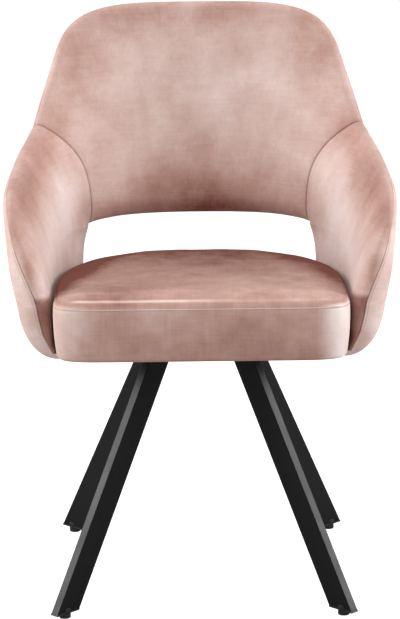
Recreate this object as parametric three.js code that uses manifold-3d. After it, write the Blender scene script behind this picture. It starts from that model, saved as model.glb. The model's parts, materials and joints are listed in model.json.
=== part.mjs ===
// Upholstered swivel armchair with an open lower back, on four leaning tube legs.
//
// Millimetres, +Z up, the chair faces -Y. The model stands on z = 0 and its origin is the middle
// of its overall box on the floor. While it is built, x = y = 0 is the swivel axis.
// A shell of moulded plastic carries a back, two arms and a band behind the seat. It is padded on
// both faces, each pad is a sewn panel, and the panels meet at seams. The shell's flange is screwed
// under the seat board, the cushion's cover wraps the board, and the board sits on a swivel that is
// bolted to the leg frame.

import * as THREE from 'three';
import Module from 'manifold-3d';
import { mergeVertices } from 'three/addons/utils/BufferGeometryUtils.js';

const wasm = await Module();
wasm.setup();

// Driving dimensions: fits
const fitGap = 0.3; // between pieces that touch
const runGap = 0.4; // between pieces that turn past each other
const cutOverrun = 5; // how far a cutter runs past what it cuts

// Driving dimensions: leg frame
const footReach = 306.2; // swivel axis to the middle of a leg at the floor
const legLean = THREE.MathUtils.degToRad(29.45);
const tubeBroad = 40; // across the tube's broad face
const tubeNarrow = 15;
const tubeWall = 1.5;
const legFootHeight = 11; // floor to the cut end of the tube
const legTopHeight = 384.9;
const legNames = ['rear_right', 'rear_left', 'front_left', 'front_right'];
const plugLipHeight = 3; // foot plug's lip below the tube
const plugDepth = 18; // foot plug inside the tube
const glideRadius = 9;
const glideFlatRadius = 7.5;
const glideStemRadius = 3;
const glideStemLength = 9;
const legPlateSide = 176;
const legPlateThickness = 4;
const legPlateCorner = 24;

// Driving dimensions: swivel
const swivelRadius = 80;
const swivelPlateThickness = 3;
const raceInnerRadius = 36;
const raceOuterRadius = 50;
const raceThickness = 4;
const ballDiameter = 6;
const ballCount = 12;
const ballSteps = 6; // sides of a ball, round it
const ballRings = 4;
const cageThickness = 2;
const cageWidth = 9;
const pivotRadius = 6;
const pivotHeadRadius = 10;
const pivotHeadHeight = 6;
const pivotNutRadius = 10;
const pivotNutHeight = 8;
const pivotEnd = 1; // bolt's end above its nut
const boltCircle = 66;
const boltRadius = 3;
const boltHeadRadius = 5.5;
const boltHeadHeight = 3.2;
const boltSocketRadius = 2;
const boltSocketDepth = 2;
const boltChamfer = 0.8;
const boltEnd = 1.5; // bolt's end beyond its nut
const boltCount = 4;
const nutRadius = 5.8;
const nutHeight = 5;
const nutSides = 6;

// Driving dimensions: seat
const seatHalfWidth = 226; // cushion
const seatFrontReach = 262; // swivel axis to the cushion's front
const seatRearReach = 194; // swivel axis to the cushion's rear
const shoulderReach = 100; // how far in front of the axis the sides start to curve to the rear
const rearCurve = 2.4; // exponent of the rear outline
const frontCurve = 11; // exponent of the front corners
const boardThickness = 11.7;
const boardInset = 16; // board's edge inside the cushion's side
const cushionBottomRound = 10;
const cushionFrontHeight = 88; // cushion's underside to its front seam
const cushionRearDrop = 13.5; // rear seam below the front seam
const cushionCrown = 7;
const cushionBulge = 2; // side swells out between its seams
const cushionSeamSink = 1.5;
const cushionSeamWidth = 5;
const pivotHoleGap = 4; // board's hole round the pivot's nut
const sideGap = 3; // cushion to the inner face of the arms
const dustThickness = 1;
const dustHoleGap = 3; // dust cover's hole round the swivel
const dustEdgeGap = 3; // dust cover's edge inside the flange
const teeNutRadius = 9;
const teeNutFlange = 1.5;
const teeNutBarrelRadius = 4.4;
const teeNutBarrelLength = 9;

// Driving dimensions: shell, heights from the floor
const wallLowHeight = 428; // base of the wall's height shares
const wallFootHeight = 448; // where the outer face starts to round under
const bandTopHeight = 468; // band behind the seat
const gapTopHeight = 549; // lower edge of the back
const armJoinHeight = 705; // where the back's seam meets the rim
const armTipHeight = 600; // front top corner of the arm
const backTopHeight = 884;
const armTipRound = 22; // how far the rim drops to the arm's tip

// Driving dimensions: shell, plan and outlines
const armFrontReach = 200; // swivel axis to the arm's front edge, at the seat
const armTipReach = 150; // swivel axis to the arm's front top corner
const armTipHalfWidth = 289;
const armJoinHalfWidth = 257;
const gapHalfWidth = 180; // opening behind the seat
const seamWaist = 8; // seam stands in over the opening's side
const gapCornerDrop = 10; // back's lower edge dips by this to the opening's corner
const gapCornerRise = 90; // reach of the dip above the back's lower edge
const gapCornerFall = 45; // its reach below that edge
const gapCornerSpread = 45; // its reach beyond the seam
const backBaseReach = 200; // swivel axis to the back's face, at the opening
const backRecline = THREE.MathUtils.degToRad(13.5);
const backWrap = 93; // back's sides stand forward of its middle, at the opening
const backWrapAtTop = 29.5; // the same, at the top
const backWrapHalfWidth = 230; // half width at which the wrap is measured
const backHalfWidthAtTop = 204.5; // side line of the back, carried up to its top
const cornerStartHeight = 790; // where the back's side starts to round over
const thickLow = 50; // wall thickness at the seat
const thickRim = 22; // wall thickness at the rim
const footTuck = 18; // wall is thinner by this at its foot

// Driving dimensions: shell, core, flange and seams
const coreThickness = 4;
const flangeWidth = 60; // inner face of the arm to the flange's inner edge
const bendReach = 5; // the bend stands outside the arm's inner face by this, on the core's inner face
const padFootReach = 8.5; // inner panel's foot reaches this far inside the arm's inner face
const seamFootInset = 5; // edge seam's foot, inside the arm's inner face
const underRound = 14; // outer face rounds under to this far inside the arm's inner face
const lipReach = 34; // outer cover's hem ends this far inside the arm's inner face
const lipThickness = 4.8;
const frontTuck = 10; // arm's lowest front corner stands back by this
const seamLand = 1.2; // thickness of a panel at its sewn edge
const seamSink = 2.5; // panels dip to a seam by this
const seamWidth = 12;
const gapSeamReach = 40; // from the opening to where its seam's place has faded
const screwInset = 48;
const screwRadius = 2;
const screwHeadRadius = 4;
const screwHeadHeight = 2;
const screwLength = 10; // in the board

// Shares and exponents that shape the wall
const innerShare = 0.36; // inner pad's share of the wall
const rimSeamShare = 0.5; // where the rim seam lies across the wall
const frontSeamFootShare = 0.17; // where the seam of the arm's front edge lies, at its foot
const frontSeamShare = 0.37; // and a third of the way up
const frontSeamBendShare = 0.35; // height share where it turns towards the rim's place
const gapSeamShare = 0.34;
const roundShare = 0.5; // rounding of a free edge, as a share of the wall
const thinningStartShare = 0.4; // height share where the wall starts to thin
const footShare = 0.42; // height share up to which the foot is tucked
const flareCurve = 1.45;
const seamCurve = 3;
const waistCurve = 3.5;
const gapCornerCurve = 7;
const armFrontRake = 4.5;
const armRearRake = 1.6;
const tipRoundShare = 0.3; // share of the rim that the tip's round takes
const tipRoundCurve = 2.2;
const rimNarrowCurve = 2;
const seamPull = 3; // how quickly the arm's columns take the seam's shape
const backWrapCurve = 2.5;
const cornerCurve = 4.2;
const underCurve = 0.92;
const thinningCurve = 1.85;
const footTuckCurve = 2;
const padFootCurve = 3;
const frontTuckCurve = 4;
const seamBlendShare = 0.2; // part of an arm over which its face turns to the seam
const differenceShare = 0.004; // step that measures a surface's slope

// Grid of the wall, as shares
const armColumnShares = [0, 0.014, 0.042, 0.11, 0.24, 0.42, 0.6, 0.78, 0.89, 0.955, 0.985, 1];
const backColumnShares = [0, 0.02, 0.06, 0.19, 0.33, 0.42, 0.5, 0.58, 0.75, 1];
const bandRowShares = [0, 0.6, 1]; // wall foot to band top
const gapRowShares = [0.15, 0.4, 0.65, 0.86]; // band top to the back's lower edge
const backRowShares = [0, 0.03, 0.085, 0.2, 0.38, 0.56, 0.74, 0.89, 0.965, 1];
const underRowShares = [1, 0.75, 0.5, 0.25]; // outer face, from under the seat to the wall's foot
const padFootShares = [1, 0.8, 0.5]; // inner face, from the flange to the wall's foot
const edgeLines = 2; // grid lines between a free edge and the core's edge
const flareStartShare = 0.33; // height share where the arm starts to lean out
const crownRingShares = [0.985, 0.93, 0.8, 0.6, 0.35]; // cushion's top, from its edge inwards
const crownCurve = 4;
const sideRiseShares = [0.2, 0.5, 0.8]; // cushion's side, between its lower edge and its seam
const screwArmShares = [0.3, 0.8];
const screwBandShare = 0.5;
const outlineSteps = 24; // straight steps in half of the seat's outline
const roundSteps = 24; // sides of a large turned piece
const smallSteps = 10; // sides of a fastener or a hole
const cornerSteps = 3;
const rimSteps = 160; // steps that measure the back's outline

// Derived heights, from the leg frame up
const legPlateBottom = legTopHeight + fitGap;
const legPlateTop = legPlateBottom + legPlateThickness;
const lowerPlateBottom = legPlateTop + fitGap;
const lowerPlateTop = lowerPlateBottom + swivelPlateThickness;
const lowerRaceBottom = lowerPlateTop + fitGap;
const lowerRaceTop = lowerRaceBottom + raceThickness;
const ballBottom = lowerRaceTop + fitGap;
const upperRaceBottom = ballBottom + ballDiameter + fitGap;
const upperRaceTop = upperRaceBottom + raceThickness;
const upperPlateBottom = upperRaceTop + fitGap;
const upperPlateTop = upperPlateBottom + swivelPlateThickness;
const boardBottom = upperPlateTop + fitGap;
const boardTop = boardBottom + boardThickness;
const cushionBottom = boardBottom;
const flangeTop = cushionBottom - fitGap;
const flangeBottom = flangeTop - coreThickness;
const lipTop = flangeBottom - fitGap;
const shellBottom = lipTop - lipThickness;

// Derived plan sizes
const wallHalfWidth = seatHalfWidth + sideGap;
const wallRearReach = seatRearReach + sideGap;

// Finishes
const finishes = {
  velvet: { color: 0xc8a79c, roughness: 0.85, metalness: 0 },
  velvetSeat: { color: 0xa87f76, roughness: 0.85, metalness: 0 },
  shellPlastic: { color: 0x2b2b2d, roughness: 0.6, metalness: 0 },
  plywood: { color: 0xc9a878, roughness: 0.7, metalness: 0 },
  dustCloth: { color: 0x1a1a1a, roughness: 0.95, metalness: 0 },
  blackPaint: { color: 0x1e1e1f, roughness: 0.45, metalness: 0.3 },
  blackPlastic: { color: 0x161616, roughness: 0.5, metalness: 0 },
  zinc: { color: 0x9a9c9e, roughness: 0.35, metalness: 0.9 },
};

function finish(name) {
  return new THREE.MeshStandardMaterial(finishes[name]);
}

function piece(name, geometry, finishName) {
  const mesh = new THREE.Mesh(geometry, finish(finishName));
  mesh.name = name;
  return mesh;
}

// Solids: joining and cutting
function toSolid(geometry) {
  const bare = geometry.clone();
  bare.deleteAttribute('normal');
  bare.deleteAttribute('uv');
  const merged = mergeVertices(bare);
  const vertProperties = new Float32Array(merged.attributes.position.array);
  const triVerts = new Uint32Array(merged.index.array);
  return new wasm.Manifold(new wasm.Mesh({ numProp: 3, vertProperties, triVerts }));
}

function toGeometry(solid) {
  const mesh = solid.getMesh();
  const geometry = new THREE.BufferGeometry();
  geometry.setAttribute('position', new THREE.BufferAttribute(mesh.vertProperties, 3));
  geometry.setIndex(new THREE.BufferAttribute(mesh.triVerts, 1));
  geometry.computeVertexNormals();
  return geometry;
}

// A closed body from a list of points and triangles, turned to face outwards
function closedGeometry(points, triangles) {
  let volume = 0;
  for (const [a, b, c] of triangles) {
    volume += points[a].dot(new THREE.Vector3().crossVectors(points[b], points[c]));
  }
  const faces = volume < 0 ? triangles.map(([a, b, c]) => [a, c, b]) : triangles;
  const geometry = new THREE.BufferGeometry().setFromPoints(points);
  geometry.setIndex(faces.flat());
  geometry.computeVertexNormals();
  return geometry;
}

function pointOnCircle(radius, angle) {
  return new THREE.Vector2(radius * Math.cos(angle), radius * Math.sin(angle));
}

function evenAngles(count) {
  return Array.from({ length: count }, (_, k) => (2 * Math.PI * k) / count);
}

// An outline with equal sides
function evenShape(radius, sides) {
  return new THREE.Shape(evenAngles(sides).map((angle) => pointOnCircle(radius, angle)));
}

function circleHole(x, y, radius) {
  const hole = new THREE.Path();
  hole.absarc(x, y, radius, 0, 2 * Math.PI, true);
  return hole;
}

function plate(shape, bottom, thickness) {
  const options = { depth: thickness, bevelEnabled: false, curveSegments: smallSteps };
  const geometry = new THREE.ExtrudeGeometry(shape, options);
  geometry.translate(0, 0, bottom);
  return geometry;
}

// A turned piece: its profile is [radius, height] pairs, and its axis is +Z
function turned(profile, steps = smallSteps) {
  const points = profile.map(([radius, height]) => new THREE.Vector2(radius, height));
  const geometry = new THREE.LatheGeometry(points, steps);
  geometry.rotateX(Math.PI / 2);
  return geometry;
}

function ring(inner, outer, bottom, top) {
  const profile = [[inner, bottom], [outer, bottom], [outer, top], [inner, top], [inner, bottom]];
  return turned(profile, roundSteps);
}

// Seat plan: half width and depth of an outline that lies a given distance inside the arms' inner face
function outlinePoint(inset, angle) {
  const halfWidth = wallHalfWidth - inset;
  const rear = wallRearReach - inset + shoulderReach;
  const front = seatFrontReach + sideGap - inset - shoulderReach;
  const isRear = angle >= 0;
  const curve = isRear ? rearCurve : frontCurve;
  const along = Math.abs(Math.sin(angle)) ** (2 / curve);
  const across = Math.abs(Math.cos(angle)) ** (2 / curve);
  const depth = isRear ? rear * along : -front * along;
  return new THREE.Vector2(halfWidth * across, depth - shoulderReach);
}

// The whole outline, as a closed list, from the middle of the front round the right side
function seatOutline(inset) {
  const half = [];
  for (let k = 0; k <= outlineSteps; k += 1) {
    half.push(outlinePoint(inset, -Math.PI / 2 + (Math.PI * k) / outlineSteps));
  }
  const mirrored = half.slice(1, -1).reverse().map((p) => new THREE.Vector2(-p.x, p.y));
  return half.concat(mirrored);
}

// Wall: the inner face is a surface over columns and rows. An arm's columns run from its front edge
// (share 0) to the seam with the back (share 1), and the back's columns from that seam (share 0) to
// the middle (share 1). x is worked out for the right-hand side and mirrored.
const openingAngle = Math.acos((gapHalfWidth / wallHalfWidth) ** (rearCurve / 2));
const openingSideY = outlinePoint(0, openingAngle).y;

function smooth(value) {
  const t = THREE.MathUtils.clamp(value, 0, 1);
  return t * t * (3 - 2 * t);
}

const lerp = THREE.MathUtils.lerp;
const clamp = THREE.MathUtils.clamp;

// Back's face: distance behind the axis for a half width and a height
function backDepth(x, z) {
  const rise = z - gapTopHeight;
  const wrap = lerp(backWrap, backWrapAtTop, rise / (backTopHeight - gapTopHeight));
  return backBaseReach + Math.tan(backRecline) * rise - wrap * (x / backWrapHalfWidth) ** backWrapCurve;
}

// Seam between arm and back, and the opening's side below it
function seamHalfWidth(z) {
  const fall = clamp((gapTopHeight - z) / (gapTopHeight - bandTopHeight), 0, 1);
  const waist = seamWaist * (1 - (1 - fall) ** waistCurve);
  const share = clamp((z - gapTopHeight) / (armJoinHeight - gapTopHeight), 0, 1);
  const seamBase = gapHalfWidth - seamWaist;
  return seamBase + waist + (armJoinHalfWidth - seamBase) * share ** seamCurve;
}

function seamDepth(z) {
  const onBack = backDepth(seamHalfWidth(z), Math.max(z, gapTopHeight));
  return lerp(openingSideY, onBack, smooth((z - bandTopHeight) / (gapTopHeight - bandTopHeight)));
}

function seatLine(share) {
  const y = lerp(-armFrontReach, openingSideY, share);
  const along = clamp((y + shoulderReach) / (wallRearReach + shoulderReach), 0, 1);
  return new THREE.Vector2(wallHalfWidth * (1 - along ** rearCurve) ** (1 / rearCurve), y);
}

function armRim(share) {
  const drop = armTipRound * (1 - clamp(share / tipRoundShare, 0, 1)) ** tipRoundCurve;
  return new THREE.Vector3(
    lerp(armTipHalfWidth, armJoinHalfWidth, share ** rimNarrowCurve),
    lerp(-armTipReach, seamDepth(armJoinHeight), share),
    lerp(armTipHeight + armTipRound, armJoinHeight, share) - drop,
  );
}

function armPoint(share, rise) {
  const foot = seatLine(share);
  const rim = armRim(share);
  const z = lerp(wallLowHeight, rim.z, rise);
  const flareStart = lerp(wallLowHeight, rim.z, flareStartShare);
  const flare = clamp((z - flareStart) / (rim.z - flareStart), 0, 1) ** flareCurve;
  const rake = rise ** lerp(armFrontRake, armRearRake, share);
  const seamZ = lerp(wallLowHeight, armJoinHeight, rise);
  const lastFoot = seatLine(1);
  const lastRim = armRim(1);
  const lastStart = lerp(wallLowHeight, armJoinHeight, flareStartShare);
  const lastFlare = clamp((seamZ - lastStart) / (armJoinHeight - lastStart), 0, 1) ** flareCurve;
  const pull = share ** seamPull;
  const pullX = seamHalfWidth(seamZ) - lerp(lastFoot.x, lastRim.x, lastFlare);
  const pullY = seamDepth(seamZ) - lerp(lastFoot.y, lastRim.y, rise ** armRearRake);
  return new THREE.Vector3(
    lerp(foot.x, rim.x, flare) + pullX * pull,
    lerp(foot.y, rim.y, rake) + pullY * pull,
    z,
  );
}

// Back's outline: points [half width, height] from the seam up to the middle of the top, and their
// distances along it
const backOutline = [];
for (let k = 0; k <= rimSteps; k += 1) {
  const turn = Math.sin((Math.PI / 2) * (k / rimSteps));
  const z = lerp(armJoinHeight, backTopHeight, turn);
  const share = (z - armJoinHeight) / (backTopHeight - armJoinHeight);
  const over = clamp((z - cornerStartHeight) / (backTopHeight - cornerStartHeight), 0, 1);
  const round = (1 - over ** cornerCurve) ** (1 / cornerCurve);
  const side = lerp(armJoinHalfWidth, backHalfWidthAtTop, share);
  backOutline.push(new THREE.Vector2(side * round, z));
}
const backOutlineRun = [0];
for (let k = 1; k <= rimSteps; k += 1) {
  backOutlineRun.push(backOutlineRun[k - 1] + backOutline[k].distanceTo(backOutline[k - 1]));
}

function backRim(share) {
  const run = share * backOutlineRun[rimSteps];
  let k = 1;
  while (k < rimSteps && backOutlineRun[k] < run) k += 1;
  const part = (run - backOutlineRun[k - 1]) / (backOutlineRun[k] - backOutlineRun[k - 1]);
  return backOutline[k - 1].clone().lerp(backOutline[k], part);
}

function backPoint(share, rise) {
  const rim = backRim(share);
  const z = lerp(gapTopHeight, rim.y, rise);
  const curve = lerp(1, seamCurve, (1 - share) ** (1 + roundShare));
  const low = (gapHalfWidth - seamWaist) * (1 - share);
  const x = lerp(low, rim.x, rise ** curve);
  return new THREE.Vector3(x, backDepth(x, z), z);
}

function bandPoint(share, rise) {
  const x = gapHalfWidth * (1 - share);
  const along = (1 - (x / wallHalfWidth) ** rearCurve) ** (1 / rearCurve);
  const y = along * (wallRearReach + shoulderReach) - shoulderReach;
  return new THREE.Vector3(x, y, lerp(wallLowHeight, armJoinHeight, rise));
}

// Row shares of the wall: 0 is the inner panels' lower edge and 1 is the rim
const joinRise = armJoinHeight - wallLowHeight;
const footShareOfWall = (wallFootHeight - wallLowHeight) / joinRise;
const bandShare = (bandTopHeight - wallLowHeight) / joinRise;
const gapShare = (gapTopHeight - wallLowHeight) / joinRise;
const bandRows = bandRowShares.map((share) => lerp(footShareOfWall, bandShare, share));
const gapRows = gapRowShares.map((share) => lerp(bandShare, gapShare, share));
const backRows = backRowShares.map((share) => lerp(gapShare, 1, share));
const wallRows = [...bandRows, ...gapRows, ...backRows];

// The opening's upper corners are round: the wall sinks towards them
function sinkCorner(point) {
  const seamBase = gapHalfWidth - seamWaist;
  const beyond = point.x - seamBase;
  const within = (point.x / seamBase) ** gapCornerCurve;
  const across = beyond > 0 ? 1 - smooth(beyond / gapCornerSpread) : within;
  const above = point.z - gapTopHeight;
  const reach = above > 0 ? gapCornerRise : gapCornerFall;
  const drop = gapCornerDrop * across * (1 - smooth(Math.abs(above) / reach));
  return point.setZ(point.z - drop);
}

const surfaces = {
  arm: (share, rise) => sinkCorner(armPoint(share, rise)),
  back: (share, rise) => sinkCorner(backPoint(share, (rise - gapShare) / (1 - gapShare))),
  band: (share, rise) => bandPoint(share, rise),
};
const lowestRise = { arm: 0, back: gapShare, band: 0 };

function faceNormal(region, share, rise) {
  const surface = surfaces[region];
  const s0 = Math.max(share - differenceShare, 0);
  const s1 = Math.min(share + differenceShare, 1);
  const r0 = Math.max(rise - differenceShare, lowestRise[region]);
  const r1 = Math.min(rise + differenceShare, 1);
  const across = surface(s1, rise).sub(surface(s0, rise));
  const up = surface(share, r1).sub(surface(share, r0));
  return across.cross(up).normalize();
}

function seamNormal(rise) {
  const arm = faceNormal('arm', 1, rise);
  const back = faceNormal('back', 0, Math.max(rise, gapShare));
  const band = faceNormal('band', 0, Math.min(rise, bandShare));
  const beyond = band.lerp(back, clamp((rise - bandShare) / (gapShare - bandShare), 0, 1));
  return arm.add(beyond).normalize();
}

function wallNormal(region, share, rise) {
  const toSeam = region === 'arm' ? 1 - share : share;
  const blend = 1 - smooth(toSeam / seamBlendShare);
  return faceNormal(region, share, rise).lerp(seamNormal(rise), blend).normalize();
}

function wallThickness(region, share, rise) {
  let level = rise;
  if (region === 'back') {
    const rim = backRim(share).y;
    level = (surfaces.back(share, rise).z - wallLowHeight) / (rim - wallLowHeight);
  }
  const above = Math.max(0, level - thinningStartShare) / (1 - thinningStartShare);
  const thin = Math.min(above, 1) ** thinningCurve;
  const tuck = footTuck * Math.max(0, 1 - level / footShare) ** footTuckCurve;
  return lerp(thickLow, thickRim, thin) - tuck;
}

// Full, 1, away from a free edge, and rounding off to 0 at it
function rounding(distance, radius) {
  return Math.sqrt(1 - (1 - clamp(distance / radius, 0, 1)) ** 2);
}

function runBetween(nodes, from, to) {
  let run = 0;
  for (let k = Math.min(from, to); k < Math.max(from, to); k += 1) {
    run += nodes[k].point.distanceTo(nodes[k + 1].point);
  }
  return run;
}

// A region's grid of the wall on the right-hand side: each node has its place on the inner face,
// the outward direction, the thickness, and how full the wall is there
function wallGrid(region, columns, rows) {
  const grid = columns.map((share) => rows.map((rise) => ({
    share,
    rise,
    point: surfaces[region](share, rise),
    normal: wallNormal(region, share, rise),
    thick: wallThickness(region, share, rise),
  })));
  const last = columns.length - 1;
  const top = rows.length - 1;
  const bandRow = rows.findIndex((rise) => rise >= bandShare);
  const gapRow = rows.findIndex((rise) => rise >= gapShare);
  grid.forEach((column, i) => column.forEach((node, j) => {
    const row = grid.map((other) => other[j]);
    const radius = node.thick * roundShare;
    const toSeam = region === 'arm' ? runBetween(row, i, last) : runBetween(row, 0, i);
    let past = 0;
    if (j > gapRow && gapRow >= 0) past = runBetween(column, gapRow, j);
    if (j < bandRow) past = runBetween(column, j, bandRow);
    const toOpening = region === 'arm' ? Math.hypot(toSeam, past) : past;
    const toFront = region === 'arm' ? runBetween(row, 0, i) : radius;
    const toRim = region === 'band' ? radius : runBetween(column, j, top);
    const inOpening = region === 'arm' && j > bandRow && j < gapRow;
    node.fill = rounding(toFront, radius) * rounding(toRim, radius) * rounding(toOpening, radius);
    node.sink = inOpening ? 0 : seamSink * (1 - rounding(toSeam, seamWidth)) * node.fill;
    const raised = smooth((node.rise - frontSeamBendShare) / (1 - frontSeamBendShare));
    const lowSeam = lerp(frontSeamFootShare, frontSeamShare, clamp(node.rise / frontSeamBendShare, 0, 1));
    const edgeSeam = region === 'arm' ? lerp(lowSeam, rimSeamShare, raised) : rimSeamShare;
    node.seam = lerp(edgeSeam, gapSeamShare, clamp(1 - toOpening / gapSeamReach, 0, 1));
    const beside = region === 'arm' && j > bandRow - edgeLines && j < gapRow + edgeLines;
    const fromOpening = region === 'back' ? j - gapRow : bandRow - j;
    const nearOpening = region === 'arm' ? beside && i > last - edgeLines : fromOpening < edgeLines;
    const nearFront = region === 'arm' && i < edgeLines;
    const nearRim = region !== 'band' && j > top - edgeLines;
    node.edge = nearFront || nearRim || nearOpening;
  }));
  return grid;
}

function outward(node, distance) {
  return node.point.clone().addScaledVector(node.normal, distance);
}

// Section below the wall's foot: a place inside or outside the inner face, at a height
function underPoint(foot, offset, z, region) {
  const level = new THREE.Vector3(foot.normal.x, foot.normal.y, 0).normalize();
  const place = foot.point.clone().addScaledVector(level, offset);
  const depth = (foot.point.z - z) / (foot.point.z - shellBottom);
  const tuck = region === 'arm' ? frontTuck * (1 - foot.share) ** frontTuckCurve * depth : 0;
  return place.add(new THREE.Vector3(0, tuck, 0)).setZ(z);
}

const bendOuterReach = bendReach + coreThickness / 2;

function coreInner(node) {
  return outward(node, node.thick * innerShare);
}

function coreOuter(node) {
  return outward(node, node.thick * innerShare + coreThickness);
}

function innerPad(node) {
  const seamPlace = node.thick * node.seam;
  const face = lerp(seamPlace - seamLand, node.sink, node.fill);
  const back = node.edge ? seamPlace - fitGap / 2 : node.thick * innerShare - fitGap;
  return [outward(node, face), outward(node, back)];
}

function outerPad(node) {
  const seamPlace = node.thick * node.seam;
  const face = lerp(seamPlace + seamLand, node.thick - node.sink, node.fill);
  const coreBack = node.thick * innerShare + coreThickness + fitGap;
  const back = node.edge ? seamPlace + fitGap / 2 : coreBack;
  return [outward(node, face), outward(node, back)];
}

// Seam of the edges below the wall's foot, as a distance out of the inner face
function underSeam(foot, share) {
  return lerp(foot.thick * foot.seam, -seamFootInset, share);
}

// Rows of an inner pad below the wall's foot, down to the flange
function innerPadUnder(foot, share, region) {
  const z = lerp(foot.point.z, flangeTop + fitGap, share);
  const seamPlace = underSeam(foot, share);
  const full = foot.sink - padFootReach * share ** padFootCurve;
  const face = lerp(seamPlace - seamLand, full, foot.fill);
  const core = lerp(foot.thick * innerShare, bendReach, share);
  const back = foot.edge ? seamPlace - fitGap / 2 : core - fitGap;
  return [underPoint(foot, face, z, region), underPoint(foot, back, z, region)];
}

// Rows of an outer pad that round under the seat
function outerPadUnder(foot, share, region) {
  const angle = (Math.PI / 2) * share;
  const reach = foot.thick + underRound;
  const offset = reach * Math.cos(angle) ** underCurve - underRound;
  const z = lerp(foot.point.z, shellBottom, Math.sin(angle) ** underCurve);
  const core = lerp(foot.thick * innerShare + coreThickness, bendOuterReach, share);
  const seamPlace = underSeam(foot, share);
  const seamZ = lerp(foot.point.z, flangeTop, share);
  const backOffset = foot.edge ? seamPlace + fitGap / 2 : core + fitGap;
  const backZ = foot.edge ? seamZ : lerp(foot.point.z, lipTop, share);
  const full = underPoint(foot, offset, z, region);
  const landed = underPoint(foot, seamPlace + seamLand, seamZ - seamLand * share, region);
  return [landed.lerp(full, foot.fill), underPoint(foot, backOffset, backZ, region)];
}

function outerPadLip(foot, region) {
  const z = lerp(flangeTop - seamLand, shellBottom, foot.fill);
  return [
    underPoint(foot, -lipReach, z, region),
    underPoint(foot, -lipReach, foot.edge ? flangeTop : lipTop, region),
  ];
}

function mirrorPoint(point) {
  return new THREE.Vector3(-point.x, point.y, point.z);
}

// A sheet solid from two faces, each a grid of points, over the cells that are filled. From the
// column mirrorFrom on, its cells are split the other way, as a mirror image's are.
function sheetGeometry(faceA, faceB, mirrorFrom = faceA.length, isFilled = () => true) {
  const columns = faceA.length;
  const rows = faceA[0].length;
  const points = [];
  const indexOf = new Map();
  const use = (face, side, i, j) => {
    const key = `${side} ${i} ${j}`;
    if (!indexOf.has(key)) {
      indexOf.set(key, points.length);
      points.push(face[i][j]);
    }
    return indexOf.get(key);
  };
  const a = (i, j) => use(faceA, 'a', i, j);
  const b = (i, j) => use(faceB, 'b', i, j);
  const inside = (i, j) => i >= 0 && j >= 0 && i < columns - 1 && j < rows - 1 && isFilled(i, j);
  const triangles = [];
  const quad = (p, q, r, s) => triangles.push([p, q, r], [p, r, s]);
  const split = (i, p, q, r, s) => (i < mirrorFrom ? quad(p, q, r, s) : quad(q, r, s, p));
  for (let i = 0; i < columns - 1; i += 1) {
    for (let j = 0; j < rows - 1; j += 1) {
      if (!inside(i, j)) continue;
      split(i, a(i, j), a(i + 1, j), a(i + 1, j + 1), a(i, j + 1));
      split(i, b(i, j), b(i, j + 1), b(i + 1, j + 1), b(i + 1, j));
      if (!inside(i, j - 1)) quad(a(i, j), b(i, j), b(i + 1, j), a(i + 1, j));
      if (!inside(i, j + 1)) quad(a(i, j + 1), a(i + 1, j + 1), b(i + 1, j + 1), b(i, j + 1));
      if (!inside(i - 1, j)) quad(a(i, j), a(i, j + 1), b(i, j + 1), b(i, j));
      if (!inside(i + 1, j)) quad(a(i + 1, j), b(i + 1, j), b(i + 1, j + 1), a(i + 1, j + 1));
    }
  }
  return closedGeometry(points, triangles);
}

// Draws a face's last column in from the seam, by half of the gap that touching panels keep
function drawIn(face, index, neighbour) {
  face[index] = face[index].map((point, j) => {
    const inwards = face[neighbour][j].clone().sub(point).setLength(fitGap / 2);
    return point.clone().add(inwards);
  });
}

// The two faces of a pad, from its nodes
function padFaces(columns, seams) {
  const faces = [0, 1].map((side) => columns.map((column) => column.map((pair) => pair[side])));
  for (const face of faces) {
    for (const [index, neighbour] of seams) drawIn(face, index, neighbour);
  }
  return faces;
}

// Joins the right half of a region to its mirror image, over the middle column
function bothHalves(columns) {
  const mirrored = columns.slice(0, -1).reverse();
  return columns.concat(mirrored.map((column) => column.map((pair) => pair.map(mirrorPoint))));
}

const armGrid = wallGrid('arm', armColumnShares, wallRows);
const backGrid = wallGrid('back', backColumnShares, backRows);
const bandGrid = wallGrid('band', backColumnShares, bandRows);

function innerColumns(grid, region) {
  return grid.map((wall) => {
    const under = padFootShares.map((share) => innerPadUnder(wall[0], share, region));
    return [...under, ...wall.map(innerPad)];
  });
}

function outerColumns(grid, region) {
  return grid.map((wall) => {
    const foot = wall[0];
    const under = underRowShares.map((share) => outerPadUnder(foot, share, region));
    return [outerPadLip(foot, region), ...under, ...wall.map(outerPad)];
  });
}

const armSeam = [[armColumnShares.length - 1, armColumnShares.length - 2]];
const middleCount = 2 * backColumnShares.length - 1;
const middleSeams = [[0, 1], [middleCount - 1, middleCount - 2]];

function armPads(columns) {
  const faces = padFaces(columns, armSeam);
  const mirrored = faces.map((face) => face.map((column) => column.map(mirrorPoint)));
  return { right: sheetGeometry(...faces), left: sheetGeometry(...mirrored) };
}

function middlePad(columns) {
  const [inner, outer] = padFaces(bothHalves(columns), middleSeams);
  return sheetGeometry(inner, outer, columns.length - 1);
}

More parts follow.
